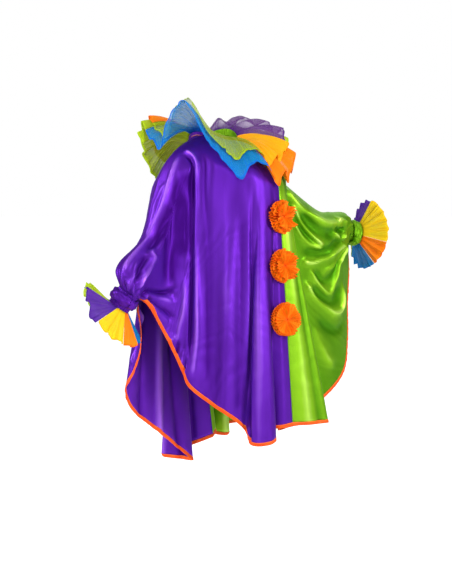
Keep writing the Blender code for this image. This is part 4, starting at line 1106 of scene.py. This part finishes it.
def build_cuff(side):
    """The gathered satin tube between the sleeve and the frill."""
    start, axis, _, _ = cuff_frame(side)
    angles = round_angles(CUFF_SEGMENTS)
    runs = np.linspace(SEAM_GAP, CUFF_LENGTH[side], CUFF_ROWS)
    runs = np.append(runs, runs[::-1])
    walls = np.repeat((CUFF_WALL / 2, -CUFF_WALL / 2), CUFF_ROWS)
    gathers = cos(CUFF_GATHERS_ROUND * angles + CUFF_UNEVEN * sin(3 * angles)) - 1
    radii = CUFF_RADIUS + walls + CUFF_GATHER_DEPTH * gathers
    loops = start + axis * runs[:, None] + around(side, angles) * radii[..., None]
    mesh = ring_mesh(loops, pairs(angles * CUFF_RADIUS, runs))
    flat = round(2 * pi * CUFF_RADIUS * CUFF_FULLNESS, 3), CUFF_LENGTH[side]
    rests_on = ["cloth_front_" + side]
    add_piece("sleeve_end_" + side, mesh, SIDES[side][1], "cuff_" + side, flat, rests_on)


def build_tie(side):
    """A soft roll of satin round the cuff, with slanting folds, and a wrapped knot."""
    start, axis, _, _ = cuff_frame(side)
    middle = start + axis * (TIE_HALF_WIDTH + 2 * SATIN_WALL + TIE_HALF_THICKNESS)
    base = CUFF_RADIUS + CUFF_WALL / 2 + SEAM_GAP
    knot = TIE_KNOT_ANGLE[side]
    turns = round_angles(TIE_RING)[:, 0]
    angles = round_angles(TIE_SEGMENTS)
    off_knot = (angles - knot + pi) % (2 * pi) - pi
    growth = 1 + TIE_KNOT_GROWTH * bell(off_knot, TIE_KNOT_SPREAD)
    pull = 1 - 0.35 * bell(off_knot, TIE_PULL_SPREAD)
    folds = 0.13 * cos(4 * turns + 5 * angles) + 0.1 * cos(7 * turns - 9 * angles + 1)
    half = TIE_HALF_THICKNESS * growth * (1 + folds * np.clip(cos(turns), 0, 1))
    wide = TIE_HALF_WIDTH * pull * (1 + 0.06 * cos(3 * turns + 7 * angles))
    out_way = around(side, angles) * (base + half * (1 + cos(turns)))[..., None]
    loops = middle + out_way + axis * (wide * sin(turns))[..., None]
    roll = ring_mesh(loops, pairs(angles * CUFF_RADIUS, turns * TIE_HALF_WIDTH))

    out, tangent = around(side, knot), around(side, knot + pi / 2)
    tall = TIE_HALF_THICKNESS * (1 + TIE_KNOT_GROWTH)
    centre = middle + out * (base + tall)
    angles = round_angles(KNOT_SEGMENTS)
    radius = np.hypot(tall * cos(angles), TIE_HALF_WIDTH * 0.72 * sin(angles))
    swirl = 0.6 * sin(2 * angles + 0.7)
    folds = 1 + 0.16 * cos(3 * turns + swirl * 4 + 2 * angles)
    way = (cos(angles) * out + sin(angles) * axis)[:, None]
    wide = KNOT_HALF_WIDTH * folds * sin(turns) + KNOT_SWAY * swirl
    loops = centre + way * (radius + KNOT_WALL * folds * cos(turns))[..., None]
    loops = loops + tangent * wide[..., None]
    wrap = ring_mesh(loops, pairs(angles * 0.02, turns * 0.01))
    add_piece("knot_" + side, joined(roll, wrap), SIDES[side][1], "tie_" + side, TIE_CUT,
              ["sleeve_end_" + side], TIE_AREA)


# ------------------------------------------------------------------ pompoms
def pompom_frame(height):
    """A pompom's seat on the front, and its side, down and out directions."""
    seat = hanging_point("right", POMPOM_BESIDE_SEAM, height)
    down = unit(hanging_point("right", POMPOM_BESIDE_SEAM, height - POMPOM_RADIUS) - seat)
    left, right = (hanging_point(side, 2 * POMPOM_BESIDE_SEAM, height) for side in ("left", "right"))
    side = square_to(down, left - right)
    out = np.cross(down, side)
    return seat + out * (SATIN_WALL / 2 + SEAM_GAP), side, down, out


def build_pompom(name, seed):
    """A rosette of pleated tulle rings, whose pleats spread from its middle."""
    height, *ruffles = POMPOMS[name]
    seat, side, down, out = pompom_frame(height)
    angles = round_angles(RUFFLE_SEGMENTS)
    ways = (cos(angles) * side + sin(angles) * down)[:, None]
    shares = np.linspace(0, 1, RUFFLE_ROWS)
    meshes = []
    for number, (reach, root, stand, pleats, tall, lobed) in enumerate(ruffles):
        starts = np.random.default_rng(seed + number).uniform(0, 6, 5)
        turned = angles + 0.05 * sin(3 * angles + starts[0]) + 0.03 * sin(7 * angles + starts[1])
        wave = sin(pleats * turned) * (0.75 + 0.35 * sin(4 * angles + starts[2]))
        lobes = sin(5 * angles + starts[3]) + 0.6 * sin(8 * angles + starts[4])
        radii = RUFFLE_EYE + (reach * (1 + lobed * (0.7 * lobes - 0.5)) - RUFFLE_EYE) * shares
        rise = root + (stand - root) * sin(shares * pi / 2) + lobed * 0.06 * lobes * shares ** 2
        rise = rise + tall * wave * np.minimum(shares * 1.6, 1.0)
        rise = np.maximum(rise, RUFFLE_LEAST + RUFFLE_STEP * number)
        top = seat + ways * radii[..., None] + out * rise[..., None]
        loops = np.concatenate([top, top[:, ::-1] - out * RUFFLE_WALL], axis=1)
        meshes.append(ring_mesh(loops, pairs(angles * 0.05, np.append(shares, shares[::-1]))))
    add_piece("rosette_" + name, joined(*meshes), "pompom_orange", "pompom_" + name, POMPOM_CUT,
              ["front_right", "front_left"], POMPOM_AREA)


# ------------------------------------------------------------------ the scene
add_camera()
add_lights()
add_floor()
MATERIALS = {name: satin_material(name, *colours) for name, colours in SATINS.items()}
MATERIALS |= {name: tulle_material(name, *row) for name, row in TULLES.items()}
MATERIALS["binding_orange"] = binding_material()
build_poncho()
build_neck_band()
build_ruff()
for wrist in SIDES:
    build_cuff(wrist)
    build_tie(wrist)
    build_frills(wrist)
for order, pompom in enumerate(POMPOMS):
    build_pompom(pompom, 200 + 20 * order)
